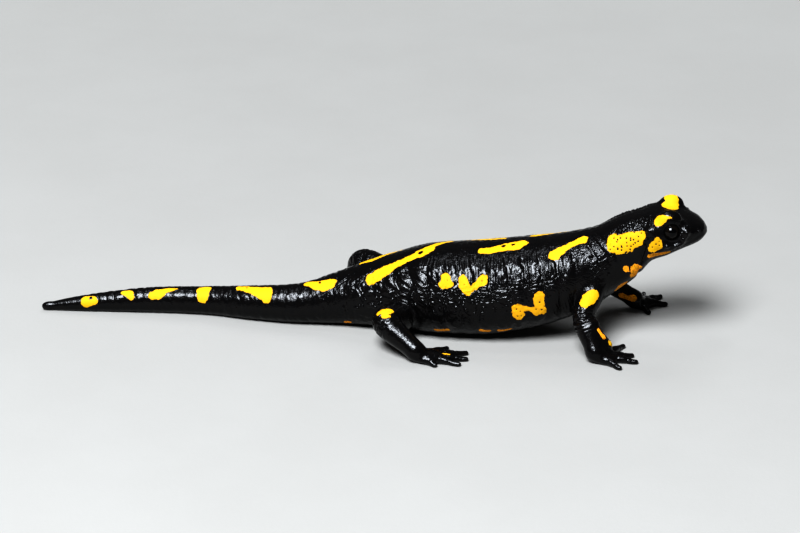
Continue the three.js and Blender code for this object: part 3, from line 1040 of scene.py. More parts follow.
@dataclass(frozen=True)
class ReliefPlan:
    """How deep and how close the skin's folds lie."""

    first_groove: float = 5.5  # the grooves between the ribs run from hip to shoulder
    last_groove: float = 53.0
    grooves: int = 12
    rib_high: float = 0.14
    groove_deep: float = 0.12
    groove_wide: float = 0.5
    streak_high: float = 0.13
    lump_high: float = 0.14
    pebble_high: float = 0.08
    wart_high: float = 0.1
    wart_wide: float = 0.32
    speck_high: float = 0.36
    ridge_high: float = 0.36
    crumb_high: float = 0.055
    narrow_size: tuple[float, float] = (0.62, 4.0)  # how long the streaks and lumps are, along and down
    broad_size: tuple[float, float] = (1.05, 3.2)
    lump_size: tuple[float, float] = (0.85, 2.4)
    wart_size: float = 2.1
    speck_size: tuple[float, float] = (1.5, 1.8)
    speck_wide: float = 0.34
    crumb_size: tuple[float, float] = (0.7, 0.95)
    shoulder: tuple[float, float] = (46.0, 55.0)  # where the skin's pattern turns to that of the shoulder
    hip: tuple[float, float] = (21.0, 9.0)
    trunk: Quad = (-16.0, -2.0, 58.0, 66.0)  # spans along the body and up its side, as in between
    ribs_up: Quad = (-62.0, -25.0, 40.0, 72.0)
    specks_up: Quad = (-14.0, -2.0, 18.0, 34.0)
    neck_up: Quad = (2.0, 25.0, 62.0, 85.0)
    ridge_up: Quad = (-16.0, -5.0, 36.0, 50.0)
    tail: Quad = (-86.0, -74.0, -8.0, 2.0)
    crown: Quad = (59.0, 63.0, 70.0, 75.0)
    crown_up: Quad = (38.0, 48.0, 62.0, 77.0)
    gular_fold: float = 69.8  # the fold across the throat
    gular_deep: float = 0.38
    neck_folds: tuple[float, ...] = (57.5, 59.6, 61.4)
    neck_deep: float = 0.2
    ring_gap: float = 2.6  # the rings of the tail
    ring_deep: float = 0.12
    tail_grain: float = 0.055
    lip_high: float = 0.14
    nostril: tuple[float, float] = (84.7, 30.0)
    nostril_deep: float = 0.42
    nostril_wide: float = 0.28
    nostril_rim: float = 0.1
    crease_gap: float = 1.35  # the creases of the limbs
    crease_high: float = 0.085
    knuckles: tuple[float, ...] = (0.56, 0.78)  # shares of a digit's length
    knuckle_deep: float = 0.1
    bulges: tuple[Quad, ...] = (  # place along, degrees up, reach and height
        (83.0, 16.0, 1.7, 0.25), (80.8, 19.0, 1.6, 0.25), (72.3, 35.0, 1.5, 0.35), (84.6, 46.0, 1.3, 0.12),
        (72.0, 33.0, 0.8, 0.3), (71.0, 21.0, 0.85, 0.5), (76.5, -55.0, 3.6, 0.45),
    )
    rough: tuple[Quad, ...] = (  # coarser pebbles round the eyes: place along, degrees up, reach and amount
        (80.0, 31.0, 1.4, 2.2), (80.6, 20.0, 1.2, 2.0), (79.0, 8.0, 1.0, 1.3), (71.8, 30.0, 1.2, 1.8),
    )
    socket_radius: float = 3.95  # the swollen ring below and ahead of the eye
    socket_wide: float = 0.8
    socket_high: float = 0.82
    pore_deep: float = 0.13

    @property
    def spacing(self) -> float:
        """The length from one groove to the next."""
        return (self.last_groove - self.first_groove) / (self.grooves - 1)


class Relief:
    """Works out how far each point of the skin moves in or out."""

    def __init__(self, body: Body, limbs: list[Limb], eyes: EyePlan) -> None:
        """Keeps the parts and the plans that the relief follows."""
        self.plan = ReliefPlan()
        self.mouth = MouthPlan()
        self.body = body
        self.limbs = limbs
        self.eyes = eyes
        self.coarse = Grain(3)
        self.fine = Grain(11)

    def carve(self, mesh: Mesh, edge: Array, pores: Array) -> None:
        """Moves the mesh's points along their normals by the whole relief.

        Args:
            mesh: The skin.
            edge: The distance to the nearest marking's edge, below 0 inside it.
            pores: How deep inside a pore each point lies.
        """
        places = self.body.places(mesh.points)
        torso = 1.0 - self._limb_share(mesh.points)
        height = self._grooves(places) + self._wrinkles(places) + self._folds(places)
        height += self._tail_rings(places) + self._mouth_line(mesh.points, places)
        height *= torso
        height += self._nostrils(mesh.points) + self._bulges(mesh.points)
        height += self._creases(mesh.points) + self._pebbles(mesh.points, places)
        height *= 0.5 + 0.5 * ease(edge, -0.6, 0.4)
        height -= self.plan.pore_deep * pores
        height *= ease(mesh.points[:, 2], 0.0, 1.2) * self._clear_of_eyes(mesh.points)
        mesh.points = mesh.points + mesh.normals() * height[:, None]
        mesh.points[:, 2] = np.maximum(mesh.points[:, 2], 0.0)

    def _away(self, points: Array, along: float, up: float, side: Side) -> Array:
        """The distance from points to a place on the body."""
        return np.linalg.norm(points - self.body.point(along, up, side), axis=1)

    def _clear_of_eyes(self, points: Array) -> Array:
        """0 at the eyes' openings and 1 away from them."""
        clear = np.ones(len(points))
        for side in Side:
            away = np.linalg.norm(points - self.eyes.centre(self.body, side), axis=1)
            clear *= ease(away, self.eyes.radius + 0.1, self.eyes.radius + 0.45)
        return clear

    def _limb_share(self, points: Array) -> Array:
        """1 on the limbs and 0 on the body, with a soft step between."""
        share = np.zeros(len(points))
        for limb in self.limbs:
            for rod in (limb.shaft, *limb.digits):
                at, gap = rod.reading(points)
                beyond = ease(at, 0.22, 0.4) if rod is limb.shaft else 1.0
                share = np.maximum(share, ease(gap, 1.2, 0.3) * beyond)
        return share

    def _grooves(self, places: Places) -> Array:
        """The costal grooves between the ribs, with the skin a little full between them."""
        plan = self.plan
        flat = columns(places.along / 3.0, places.arc / 2.4 + places.side * 40.0)
        lean = 0.7 * np.sin(places.up / 38.0) + 0.5 * self.coarse.noise(flat)
        step = (places.along + lean - plan.first_groove) / plan.spacing
        away = (step - np.round(step)) * plan.spacing
        first, last = plan.first_groove, plan.last_groove
        inside = between(places.along, first - 3.5, first, last, last + 3.5)
        band = between(places.up, *plan.ribs_up)
        ribs = plan.rib_high * np.cos(step * 2 * np.pi)
        broken = 0.65 + 0.5 * self.fine.noise(flat * 1.7 + 9.0)
        return -(ribs + plan.groove_deep * bell(away, plan.groove_wide) * broken) * inside * band

    def _wrinkles(self, places: Places) -> Array:
        """Streaks and small lumps that run down the flanks and slant at hips and shoulders."""
        plan = self.plan
        slant = 0.8 * ease(places.along, 18.0, 2.0) - 0.7 * ease(places.along, 46.0, 60.0)
        slant = slant * ease(places.up, 70.0, 35.0) + 0.3 * ease(places.up, 30.0, 5.0)
        step = (places.along - plan.first_groove) / plan.spacing
        gather = 0.75 * ease(places.up, 58.0, 20.0) * plan.spacing / (2 * np.pi)
        along = places.along + gather * np.sin(step * 2 * np.pi)
        a = along * np.cos(slant) + places.arc * np.sin(slant)
        b = places.arc * np.cos(slant) - along * np.sin(slant) + places.side * 60.0
        wander = 0.6 * self.coarse.noise(columns(a / 1.8, b / 2.6))
        sway = 0.4 * self.fine.noise(columns(a / 1.6 + b / 4.0, b / 1.5 - a / 3.0))
        turn = 0.45 * self.coarse.noise(columns(a / 1.3 - b / 3.0, b / 1.7 + a / 4.0))
        long, down = plan.narrow_size
        narrow = self.coarse.ridges(columns(a / long + wander, b / down))
        long, down = plan.broad_size
        broad = self.fine.ridges(columns(a / long + wander + sway, b / down + turn))
        shoulder, hip = ease(places.along, *plan.shoulder), ease(places.along, *plan.hip)
        streaks = narrow * (1 - 0.6 * shoulder - 0.55 * hip) + broad * (0.45 * shoulder + 0.75 * hip)
        long, down = plan.lump_size
        lumps = 0.55 - self.fine.pebbles(columns(a / long + wander, b / down))
        lumps = lumps * (1 - 0.3 * hip + 0.7 * shoulder)
        flat = columns(a, b)
        warts = bell(self.fine.pebbles(flat / plan.wart_size) * plan.wart_size, plan.wart_wide)
        specks = bell(self.coarse.pebbles(flat / plan.speck_size) * plan.speck_size[0], plan.speck_wide)
        specks = specks * ease(places.along, 46.0, 30.0) * between(places.up, *plan.specks_up)
        crumbs = self.coarse.noise(flat / plan.crumb_size) * ease(places.up, 55.0, 72.0)
        calm = 1 - 0.85 * bell(places.along - 53.0, 3.6) * bell(places.up - 24.0, 17.0)
        trunk = between(places.along, *plan.trunk) * calm * ease(places.up, -70, -20)
        high = ease(places.up, 70, 50)
        low = ease(places.up, 2.0, 26.0)
        height = plan.streak_high * streaks * (0.35 + 0.65 * low) * (0.25 + 0.75 * high)
        height += plan.lump_high * lumps * high * (0.5 + 0.5 * low)
        height += plan.wart_high * warts * high + plan.speck_high * specks + plan.crumb_high * crumbs
        return height * trunk

    def _folds(self, places: Places) -> Array:
        """The fold across the throat, and slanting folds from the neck down to the shoulder."""
        plan = self.plan
        line = plan.gular_fold + 1.6 * ease(places.up, -20.0, 25.0)
        height = -plan.gular_deep * bell(places.along - line, 0.55) * ease(places.up, 22.0, 0.0)
        for start in plan.neck_folds:
            line = start - 0.085 * (places.up - 40.0)
            height -= plan.neck_deep * bell(places.along - line, 0.45) * between(places.up, *plan.neck_up)
        line = plan.neck_folds[0] - 0.126 * (places.up - 34.0)
        leaning = columns(places.along + 0.6 * places.arc, places.arc - 0.6 * places.along)
        beads = 0.45 + 0.8 * self.fine.noise(leaning / 0.9)
        ridge = plan.ridge_high * beads * bell(places.along - line, 0.5)
        return height + ridge * between(places.up, *plan.ridge_up)

    def _tail_rings(self, places: Places) -> Array:
        """Faint rings round the tail."""
        plan = self.plan
        flat = columns(places.along, places.arc + places.side * 50.0)
        lean = 0.8 * self.coarse.noise(flat / np.array([5.0, 3.0]))
        step = (places.along + lean) / plan.ring_gap
        away = (step - np.round(step)) * plan.ring_gap
        tail = between(places.along, *plan.tail)
        fine = self.fine.noise(flat / np.array([0.6, 1.4]))
        broken = 0.7 + 0.5 * self.fine.noise(flat / np.array([2.0, 1.2]) + 7.0)
        return (plan.tail_grain * fine - plan.ring_deep * bell(away, 0.4) * broken) * tail

    def _mouth_line(self, points: Array, places: Places) -> Array:
        """The line between the jaws, with a slight lip over it."""
        mouth = self.mouth
        above = points[:, 2] - mouth.heights()(points[:, 0])
        front = ease(points[:, 0], mouth.corner - 0.6, mouth.corner + 0.8)
        lip = self.plan.lip_high * bell(above - 0.75, 0.6)
        return (lip - mouth.deep * bell(above, mouth.wide)) * front * ease(places.up, -62.0, -40.0)

    def _nostrils(self, points: Array) -> Array:
        """A small round nostril on each side of the snout."""
        plan = self.plan
        height = np.zeros(len(points))
        for side in Side:
            away = self._away(points, *plan.nostril, side)
            height += plan.nostril_rim * bell(away - 0.5, 0.25)
            height -= plan.nostril_deep * bell(away, plan.nostril_wide)
        return height

    def _bulges(self, points: Array) -> Array:
        """Rounded fullness ahead of and behind the eyes, and a fold under them."""
        plan = self.plan
        height = np.zeros(len(points))
        for side in Side:
            for along, up, reach, high in plan.bulges:
                height += high * bell(self._away(points, along, up, side), reach)
            gaze = self.eyes.axes(side)[0]
            away = points - self.eyes.centre(self.body, side)
            flat = away - (away @ gaze)[:, None] * gaze
            reach = np.linalg.norm(flat, axis=1)
            low_ahead = (flat[:, 0] * 0.65 - flat[:, 2] * 0.75) / np.maximum(reach, 0.1)
            close = np.flatnonzero((reach < plan.socket_radius + 2.5) & (away @ gaze > -3.0))
            sway = self.coarse.noise(points[close] / 1.1)
            ring = bell(reach[close] - plan.socket_radius - 0.35 * sway, plan.socket_wide)
            ring *= ease(low_ahead[close], -0.1, 0.5) * (0.85 + 0.35 * self.fine.noise(points[close] / 0.8))
            height[close] += plan.socket_high * ring
        return height

    def _creases(self, points: Array) -> Array:
        """Creases across the limbs at their bends and across the digits."""
        plan = self.plan
        height = np.zeros(len(points))
        for limb in self.limbs:
            at, gap = limb.shaft.reading(points)
            near = ease(gap, 1.0, 0.4) * ease(at, 0.25, 0.4)
            grain = np.zeros(len(points))
            close = np.flatnonzero(near > 0)
            grain[close] = self.coarse.noise(points[close] / 1.2)
            wave = np.sin((at * limb.length + 0.9 * grain) * 2 * np.pi / plan.crease_gap)
            bend = 1.5 * bell(at - limb.bend - 0.02, 0.11) + 0.2 * ease(at, limb.bend + 0.2, limb.bend)
            height += plan.crease_high * wave * near * bend * ease(at, 1.0, 0.9)
            for digit in limb.digits:
                at, gap = digit.reading(points)
                for joint in plan.knuckles:
                    height -= plan.knuckle_deep * bell(at - joint, 0.022) * ease(gap, 0.35, 0.15)
        return height

    def _pebbles(self, points: Array, places: Places) -> Array:
        """Small pebbles on neck, head and limbs, stronger above the parotid glands."""
        crown = between(places.along, *self.plan.crown) * between(places.up, *self.plan.crown_up)
        ahead = ease(places.along, 56.0, 62.0)
        lumps = np.zeros(len(points))
        chosen = np.flatnonzero((ahead > 0) | (points[:, 2] < 14.0))
        off_axis = np.array([[0.48, 0.6, 0.64], [-0.8, 0.6, 0.0], [-0.36, -0.53, 0.77]])
        turned = points[chosen] @ off_axis  # so that no row of pebbles follows an axis
        lumps[chosen] = 0.5 - self.fine.pebbles(turned / 0.66)
        share = np.maximum(0.22 + 6.5 * crown, 0.18 * (1 - ahead))
        for side in Side:
            for along, up, reach, extra in self.plan.rough:
                share += extra * bell(self._away(points, along, up, side), reach)
        return lumps * self.plan.pebble_high * share


# ---- Markings -----------------------------------------------------------------------------------------


On = Side | tuple[str, int] | None  # what carries a marking
SPACE = None


@dataclass(frozen=True)
class Spot:
    """A marking as a chain of round beads.

    Attributes:
        on: The side of the body, or a limb's name and 0 for its shaft or 1 onwards for a digit, or SPACE.
        beads: For each bead its place and its reach. On the body the place is the length along it and the
            degrees up from its side, on a limb the share of its length and the degrees round it, and in
            space x, y and z, from where the nearest skin is taken.
        warm: How orange it is, from 0 for yellow to 1.
    """

    on: On
    beads: tuple[tuple[float, ...], ...]
    warm: float = 0.0


R, L = Side.RIGHT, Side.LEFT

SPOTS = (
    # parotoid glands
    Spot(R, (
        (62.2, 51, 1.3), (61.9, 44, 1.55), (62.2, 38, 1.5), (64.0, 35, 2.65),
        (65.9, 33, 2.65), (67.4, 33, 2.3), (68.6, 32, 1.95), (70.0, 33, 1.25),
    )),
    Spot(L, ((62.4, 44, 1.9), (64.4, 36, 2.4), (67.0, 33, 2.2), (69.4, 38, 1.4))),
    # cheeks
    Spot(R, ((74.3, 13, 0.75), (74.4, 6, 1.2), (73.3, 0, 1.15), (72.9, -3, 0.9), (74.8, -3.5, 0.95))),
    Spot(R, ((72.9, -5.5, 0.55), (74.6, -6.5, 0.6)), 0.6),
    Spot(L, ((72.9, 4, 1.0), (74.3, 8, 1.3)), 0.15),
    # jaws
    Spot(R, ((72.5, -21, 0.65), (74.1, -26, 0.8), (75.9, -32, 0.65), (77.6, -37, 0.35)), 0.9),
    Spot(L, ((73.0, -28, 0.7), (76.0, -40, 0.6)), 0.9),
    # throat
    Spot(R, (
        (66.2, -10, 0.95), (67.3, -14, 0.9), (68.4, -19, 1.25), (68.2, -33, 1.1), (70.0, -29, 0.5),
    ), 0.85),
    Spot(L, ((66.8, -26, 1.2), (68.6, -40, 1.4)), 0.85),
    # breast
    Spot(R, ((63.6, -47, 0.6), (64.8, -44, 0.95), (66.2, -44, 0.65)), 0.9),
    # stripes along the back: from the hips
    Spot(R, (
        (-0.7, 47, 1.65), (1.5, 53, 1.7), (3.7, 59, 1.45), (5.6, 64, 1.15), (7.9, 69, 1.05), (10.4, 74, 1.25),
        (12.2, 78, 1.8), (14.4, 84, 1.7),
    )),
    Spot(L, ((15.5, 88, 0.9), (18.5, 78, 0.8), (20.6, 74, 0.6))),
    Spot(L, ((-3.4, 80, 0.8), (-1.0, 82, 1.0), (1.5, 78, 1.2), (4.0, 71, 1.3), (7.0, 64, 1.0))),
    # from the loins
    Spot(R, (
        (28.7, 74, 1.3), (30.2, 74, 1.3), (32.6, 76, 1.35),
        (35.2, 79, 1.85), (37.4, 80, 2.05), (39.0, 83, 1.6),
    )),
    Spot(L, ((24.5, 60, 1.3), (27.5, 66, 1.5), (31.0, 72, 1.3), (34.0, 74, 1.0))),
    # from the shoulders
    Spot(R, ((47.3, 56, 1.65), (48.5, 59, 1.25), (51.0, 66, 0.95), (53.0, 69, 1.0), (54.8, 72, 1.3))),
    Spot(L, ((42.5, 74, 1.1), (45.0, 70, 1.4), (49.5, 62, 1.5), (53.5, 58, 1.4))),
    # flanks
    Spot(R, ((18.8, 38, 1.3), (18.8, 33, 1.6), (18.1, 30, 1.3), (19.6, 31, 1.1))),
    Spot(R, (
        (23.2, 36, 1.25), (23.6, 30, 1.45), (24.4, 23, 1.2), (25.8, 26, 0.7),
        (27.2, 30, 0.95), (28.2, 34, 1.35), (28.7, 37, 1.0),
    )),
    Spot(R, ((37.8, -12, 1.6), (37.6, -4, 1.5), (40.4, -6.0, 0.45)), 0.22),
    Spot(R, (
        (40.4, -6.0, 0.45), (42.8, -11, 1.5), (44.2, -15, 1.0),
        (43.4, -6, 1.4), (43.0, 2, 1.45), (43.2, 9, 1.3),
    ), 0.22),
    Spot(L, ((11.0, 30, 1.5), (13.5, 26, 1.8), (15.0, 31, 1.1))),
    Spot(L, ((29.5, 20, 1.6), (31.0, 28, 1.4), (33.5, 24, 1.7))),
    Spot(L, ((43.5, 12, 1.9), (45.5, 20, 1.3)), 0.1),
    Spot(L, ((21.0, -12, 1.4), (23.4, -8, 1.1)), 0.3),
    Spot(L, ((52.0, 30, 1.2), (53.6, 24, 1.0))),
    # belly's edge
    Spot(R, ((16.4, -38, 0.6), (19.3, -37, 0.6)), 1.0),
    Spot(R, ((28.0, -35, 0.5), (30.2, -36, 0.6)), 1.0),
    Spot(R, ((32.8, -38, 0.5), (35.8, -39, 0.5)), 1.0),
    Spot(R, ((-7.6, -42, 0.6), (-6.6, -40, 0.5)), 1.0),
    Spot(L, ((12.0, -40, 0.8), (14.5, -42, 0.6)), 1.0),
    Spot(L, ((36.0, -44, 0.8), (39.0, -42, 0.7)), 1.0),
    # tail
    Spot(R, ((-78.2, 33, 1.6), (-76.5, 36, 1.35))),
    Spot(R, ((-67.8, 66, 0.7), (-66.5, 57, 1.25), (-65.9, 38, 0.8))),
    Spot(R, ((-60.2, 40, 1.1), (-58.7, 46, 1.5), (-57.2, 60, 1.0), (-55.3, 70, 0.6), (-53.4, 76, 0.35))),
    Spot(R, ((-44.7, 76, 0.9), (-46.2, 64, 1.8), (-46.5, 37, 1.6))),
    Spot(R, ((-36.5, 84, 0.9), (-34.0, 76, 1.2), (-31.5, 64, 1.5), (-29.3, 52, 1.8), (-28.9, 38, 1.2))),
    Spot(R, ((-31.5, 72, 1.0), (-28.7, 70, 1.2))),
    Spot(R, ((-17.8, 86, 0.9), (-15.9, 72, 1.3), (-13.7, 60, 1.8), (-11.9, 59, 1.6), (-10.8, 63, 0.9))),
    Spot(L, ((-72.0, 40, 1.2), (-70.4, 46, 1.0))),
    Spot(L, ((-54.5, 30, 1.3), (-52.6, 42, 1.4))),
    Spot(L, ((-41.0, 44, 1.5), (-39.0, 36, 1.2))),
    Spot(L, ((-25.0, 50, 1.6), (-22.5, 42, 1.3))),
    # limbs
    Spot(("leg_right", 3), ((0.56, 10, 0.25), (0.68, 10, 0.25)), 0.1),
    Spot(("arm_left", 0), ((0.86, 92, 0.8), (0.92, 88, 0.6), (0.98, 70, 1.0)), 0.8),
    Spot(("arm_left", 0), ((0.44, 0, 1.4), (0.50, 16, 1.2))),
    Spot(("leg_left", 0), ((0.46, 78, 1.3), (0.52, 62, 1.0))),
    Spot(("leg_left", 0), ((0.78, 0, 0.8), (0.82, 10, 0.7)), 0.1),
    # lids
    Spot(SPACE, (
        (73.7, -14.0, 35.2, 1.45), (74.9, -14.3, 35.9, 1.1),
        (75.8, -14.4, 36.2, 0.55), (76.9, -14.4, 36.2, 0.2),
    )),
    Spot(SPACE, (
        (77.2, -5.0, 36.4, 1.9), (77.9, -5.6, 36.3, 1.75), (78.3, -4.5, 36.4, 1.8), (77.9, -2.3, 37.2, 1.95),
    )),
    # right arm
    Spot(SPACE, ((54.9, -19.2, 14.1, 1.55), (56.1, -18.2, 14.9, 1.95), (57.3, -17.6, 15.7, 1.5))),
    Spot(SPACE, ((58.0, -23.2, 8.3, 0.35), (58.7, -23.4, 7.3, 0.5), (59.3, -23.4, 6.3, 0.65)), 0.9),
    Spot(SPACE, ((61.2, -23.3, 4.4, 0.75), (62.2, -23.0, 3.9, 0.7))),
    # right knee
    Spot(SPACE, (
        (0.9, -17.7, 10.9, 0.8), (2.7, -17.8, 10.9, 0.9), (4.5, -17.4, 10.9, 0.8), (2.9, -18.6, 10.5, 1.0),
        (2.6, -19.6, 10.2, 0.6), (3.8, -19.5, 10.3, 0.6),
    )),
)

HOLES = (  # black gaps inside markings
    Spot(R, ((12.3, 79, 0.6),)),  # hip stripe
    Spot(R, ((33.9, 81, 0.5),)),  # loin stripe
    Spot(R, ((36.7, 82, 0.42),)),  # loin stripe
    Spot(R, ((66.9, -4, 0.2), (67.2, -24, 0.2))),  # throat
    Spot(R, ((-77.0, 52, 0.45),)),  # tail
    Spot(R, ((-34.4, 82, 0.4),)),  # tail
    Spot(R, ((-14.6, 72, 0.35),)),  # tail
)


class Markings:
    """The yellow and orange markings as distances on the skin."""

    room: float = 4.0  # markings are measured no further off than this
    full_size: float = 1.6  # markings of a smaller reach have a less uneven edge
    join: float = 0.5

    def __init__(self, body: Body, limbs: list[Limb]) -> None:
        """Keeps the body and limbs that carry the markings."""
        self.body = body
        self.limbs = {limb.plan.name: limb for limb in limbs}
        self.grain = Grain(23)

    def _bead(self, on: On, place: list[float]) -> Array:
        """The point in space of a bead's place."""
        if on is SPACE:
            return np.array(place)
        if isinstance(on, Side):
            return self.body.point(*place, on)
        name, rod = on
        limb = self.limbs[name]
        return (limb.shaft, *limb.digits)[rod].skin_point(*place)

    def _distance(self, mesh: Mesh, spot: Spot) -> Array:
        """The distance from the skin's points to a rod through those nearest to a marking's beads."""
        path = []
        for *place, _ in spot.beads:
            away = np.linalg.norm(mesh.points - self._bead(spot.on, place), axis=1)
            path.append(mesh.points[int(away.argmin())])
        reach = [bead[-1] for bead in spot.beads]
        if len(path) == 1:
            path.append(path[0] + np.array([0.05, 0.0, 0.0]))
            reach = reach * 2
        return Rod(np.array(path), np.array(reach)).reading(mesh.points, self.room)[1]

    def measure(self, mesh: Mesh) -> tuple[Array, Array]:
        """Where the markings lie.

        Args:
            mesh: The skin.

        Returns:
            The distance to the nearest marking's edge, below 0 inside it, and how orange that marking is.
        """
        edge, warm = np.full(len(mesh.points), 50.0), np.zeros(len(mesh.points))
        size = np.ones(len(mesh.points))
        for spot in SPOTS:
            away = self._distance(mesh, spot)
            warm = np.where(away < edge, spot.warm, warm)
            widest = max(bead[-1] for bead in spot.beads)
            size = np.where(away < edge, min(widest / self.full_size, 1.0), size)
            edge = Clay.join(edge, away, self.join)
        for spot in HOLES:
            edge = np.maximum(edge, -self._distance(mesh, spot))
        close = np.flatnonzero(np.abs(edge) < 1.5)
        points = mesh.points[close]
        uneven = 0.2 * self.grain.noise(points / 0.8) + 0.12 * self.grain.noise(points / 0.36)
        edge[close] += uneven * size[close]
        return edge, warm


# ---- Pores --------------------------------------------------------------------------------------------


@dataclass(frozen=True)
class PorePlan:
    """Rows of pores over each parotoid gland, and single pores in other markings.

    Attributes:
        rows: For each row its degrees up, first and last place along, and the gap from pore to pore.
        singles: For each single pore on the right side its place along, degrees up and size.
        wander: How far a pore may lie off its row.
        wide: A pore's reach.
    """

    rows: tuple[Quad, ...] = (
        (47.0, 62.3, 64.8, 1.3), (40.0, 61.6, 70.6, 1.3), (34.0, 62.2, 70.5, 1.15), (28.0, 62.4, 69.6, 1.15),
        (22.0, 63.0, 68.6, 1.2), (16.0, 64.5, 67.2, 1.3),
    )
    singles: tuple[Triple, ...] = (
        (74.1, 4.0, 1.0), (73.1, 0.0, 0.9), (75.0, -1.5, 0.8), (74.9, 8.0, 0.6), (37.3, -4.0, 1.0),
        (38.3, -8.0, 0.7), (37.6, -15.0, 0.9), (38.6, -15.5, 0.7), (43.3, 0.5, 1.2), (43.9, -12.0, 1.1),
        (42.4, -9.0, 0.8), (44.6, -8.0, 0.7), (23.6, 30.0, 0.6), (28.2, 34.0, 0.8), (19.2, 35.0, 0.5),
    )
    wander: float = 0.5
    wide: float = 0.215


class Pores:
    """The dark pores of the parotoid glands."""

    def __init__(self, plan: PorePlan, body: Body) -> None:
        """Places each pore of the rows, a little off its row."""
        self.plan = plan
        chance = np.random.default_rng(5)
        self.centres = []
        for side in Side:
            for up, first, last, gap in plan.rows:
                for along in np.arange(first, last, gap):
                    a, b = chance.uniform(-1, 1, 2) * plan.wander
                    centre = body.point(along + a * 0.7, up + b * 8, side)
                    self.centres.append((centre, chance.uniform(0.9, 1.25)))
        self.centres += [(body.point(along, up, Side.RIGHT), size) for along, up, size in plan.singles]

    def measure(self, points: Array) -> Array:
        """How deep inside a pore each point lies, from 0 outside to 1 in its middle."""
        depth = np.zeros(len(points))
        for centre, size in self.centres:
            near = np.flatnonzero(np.abs(points - centre).max(axis=1) < 1.2)
            away = np.linalg.norm(points[near] - centre, axis=1)
            depth[near] = np.maximum(depth[near], bell(away, self.plan.wide * size))
        return depth


# ---- Finishes -----------------------------------------------------------------------------------------


@dataclass(frozen=True)
class SkinFinish:
    """The skin's colours and gloss."""

    black: Triple = (0.0026, 0.0025, 0.0027)
    brown: Triple = (0.0044, 0.0035, 0.0031)
    yellow: Triple = (0.51, 0.284, 0.0007)
    amber: Triple = (0.495, 0.245, 0.0015)
    orange: Triple = (0.85, 0.33, 0.014)
    pore: Triple = (0.01, 0.005, 0.0015)
    rough: float = 0.2
    spot_rough: float = 0.75
    index: float = 1.33
    bump: float = 0.045  # height of the finest wrinkles, in millimetres
    mottle: float = 1.6  # size of the brownish patches
    ragged: float = 0.28  # how ragged and how soft the markings' edges are
    soft: float = 0.08


@dataclass(frozen=True)
class EyeFinish:
    """The eye's colours."""

    pupil: Triple = (0.0012, 0.0012, 0.0014)
    iris: Triple = (0.010, 0.006, 0.004)
    rim: Triple = (0.003, 0.0025, 0.002)
    rough: float = 0.09
    index: float = 1.33


@dataclass(frozen=True)
class FloorFinish:
    """The plain floor's colours."""

    light: Triple = (0.25, 0.242, 0.226)
    shade: Triple = (0.243, 0.235, 0.219)
    rough: float = 0.75
    bump: float = 0.1  # height of the grain, in millimetres
    shine: float = 0.1  # how strongly it mirrors


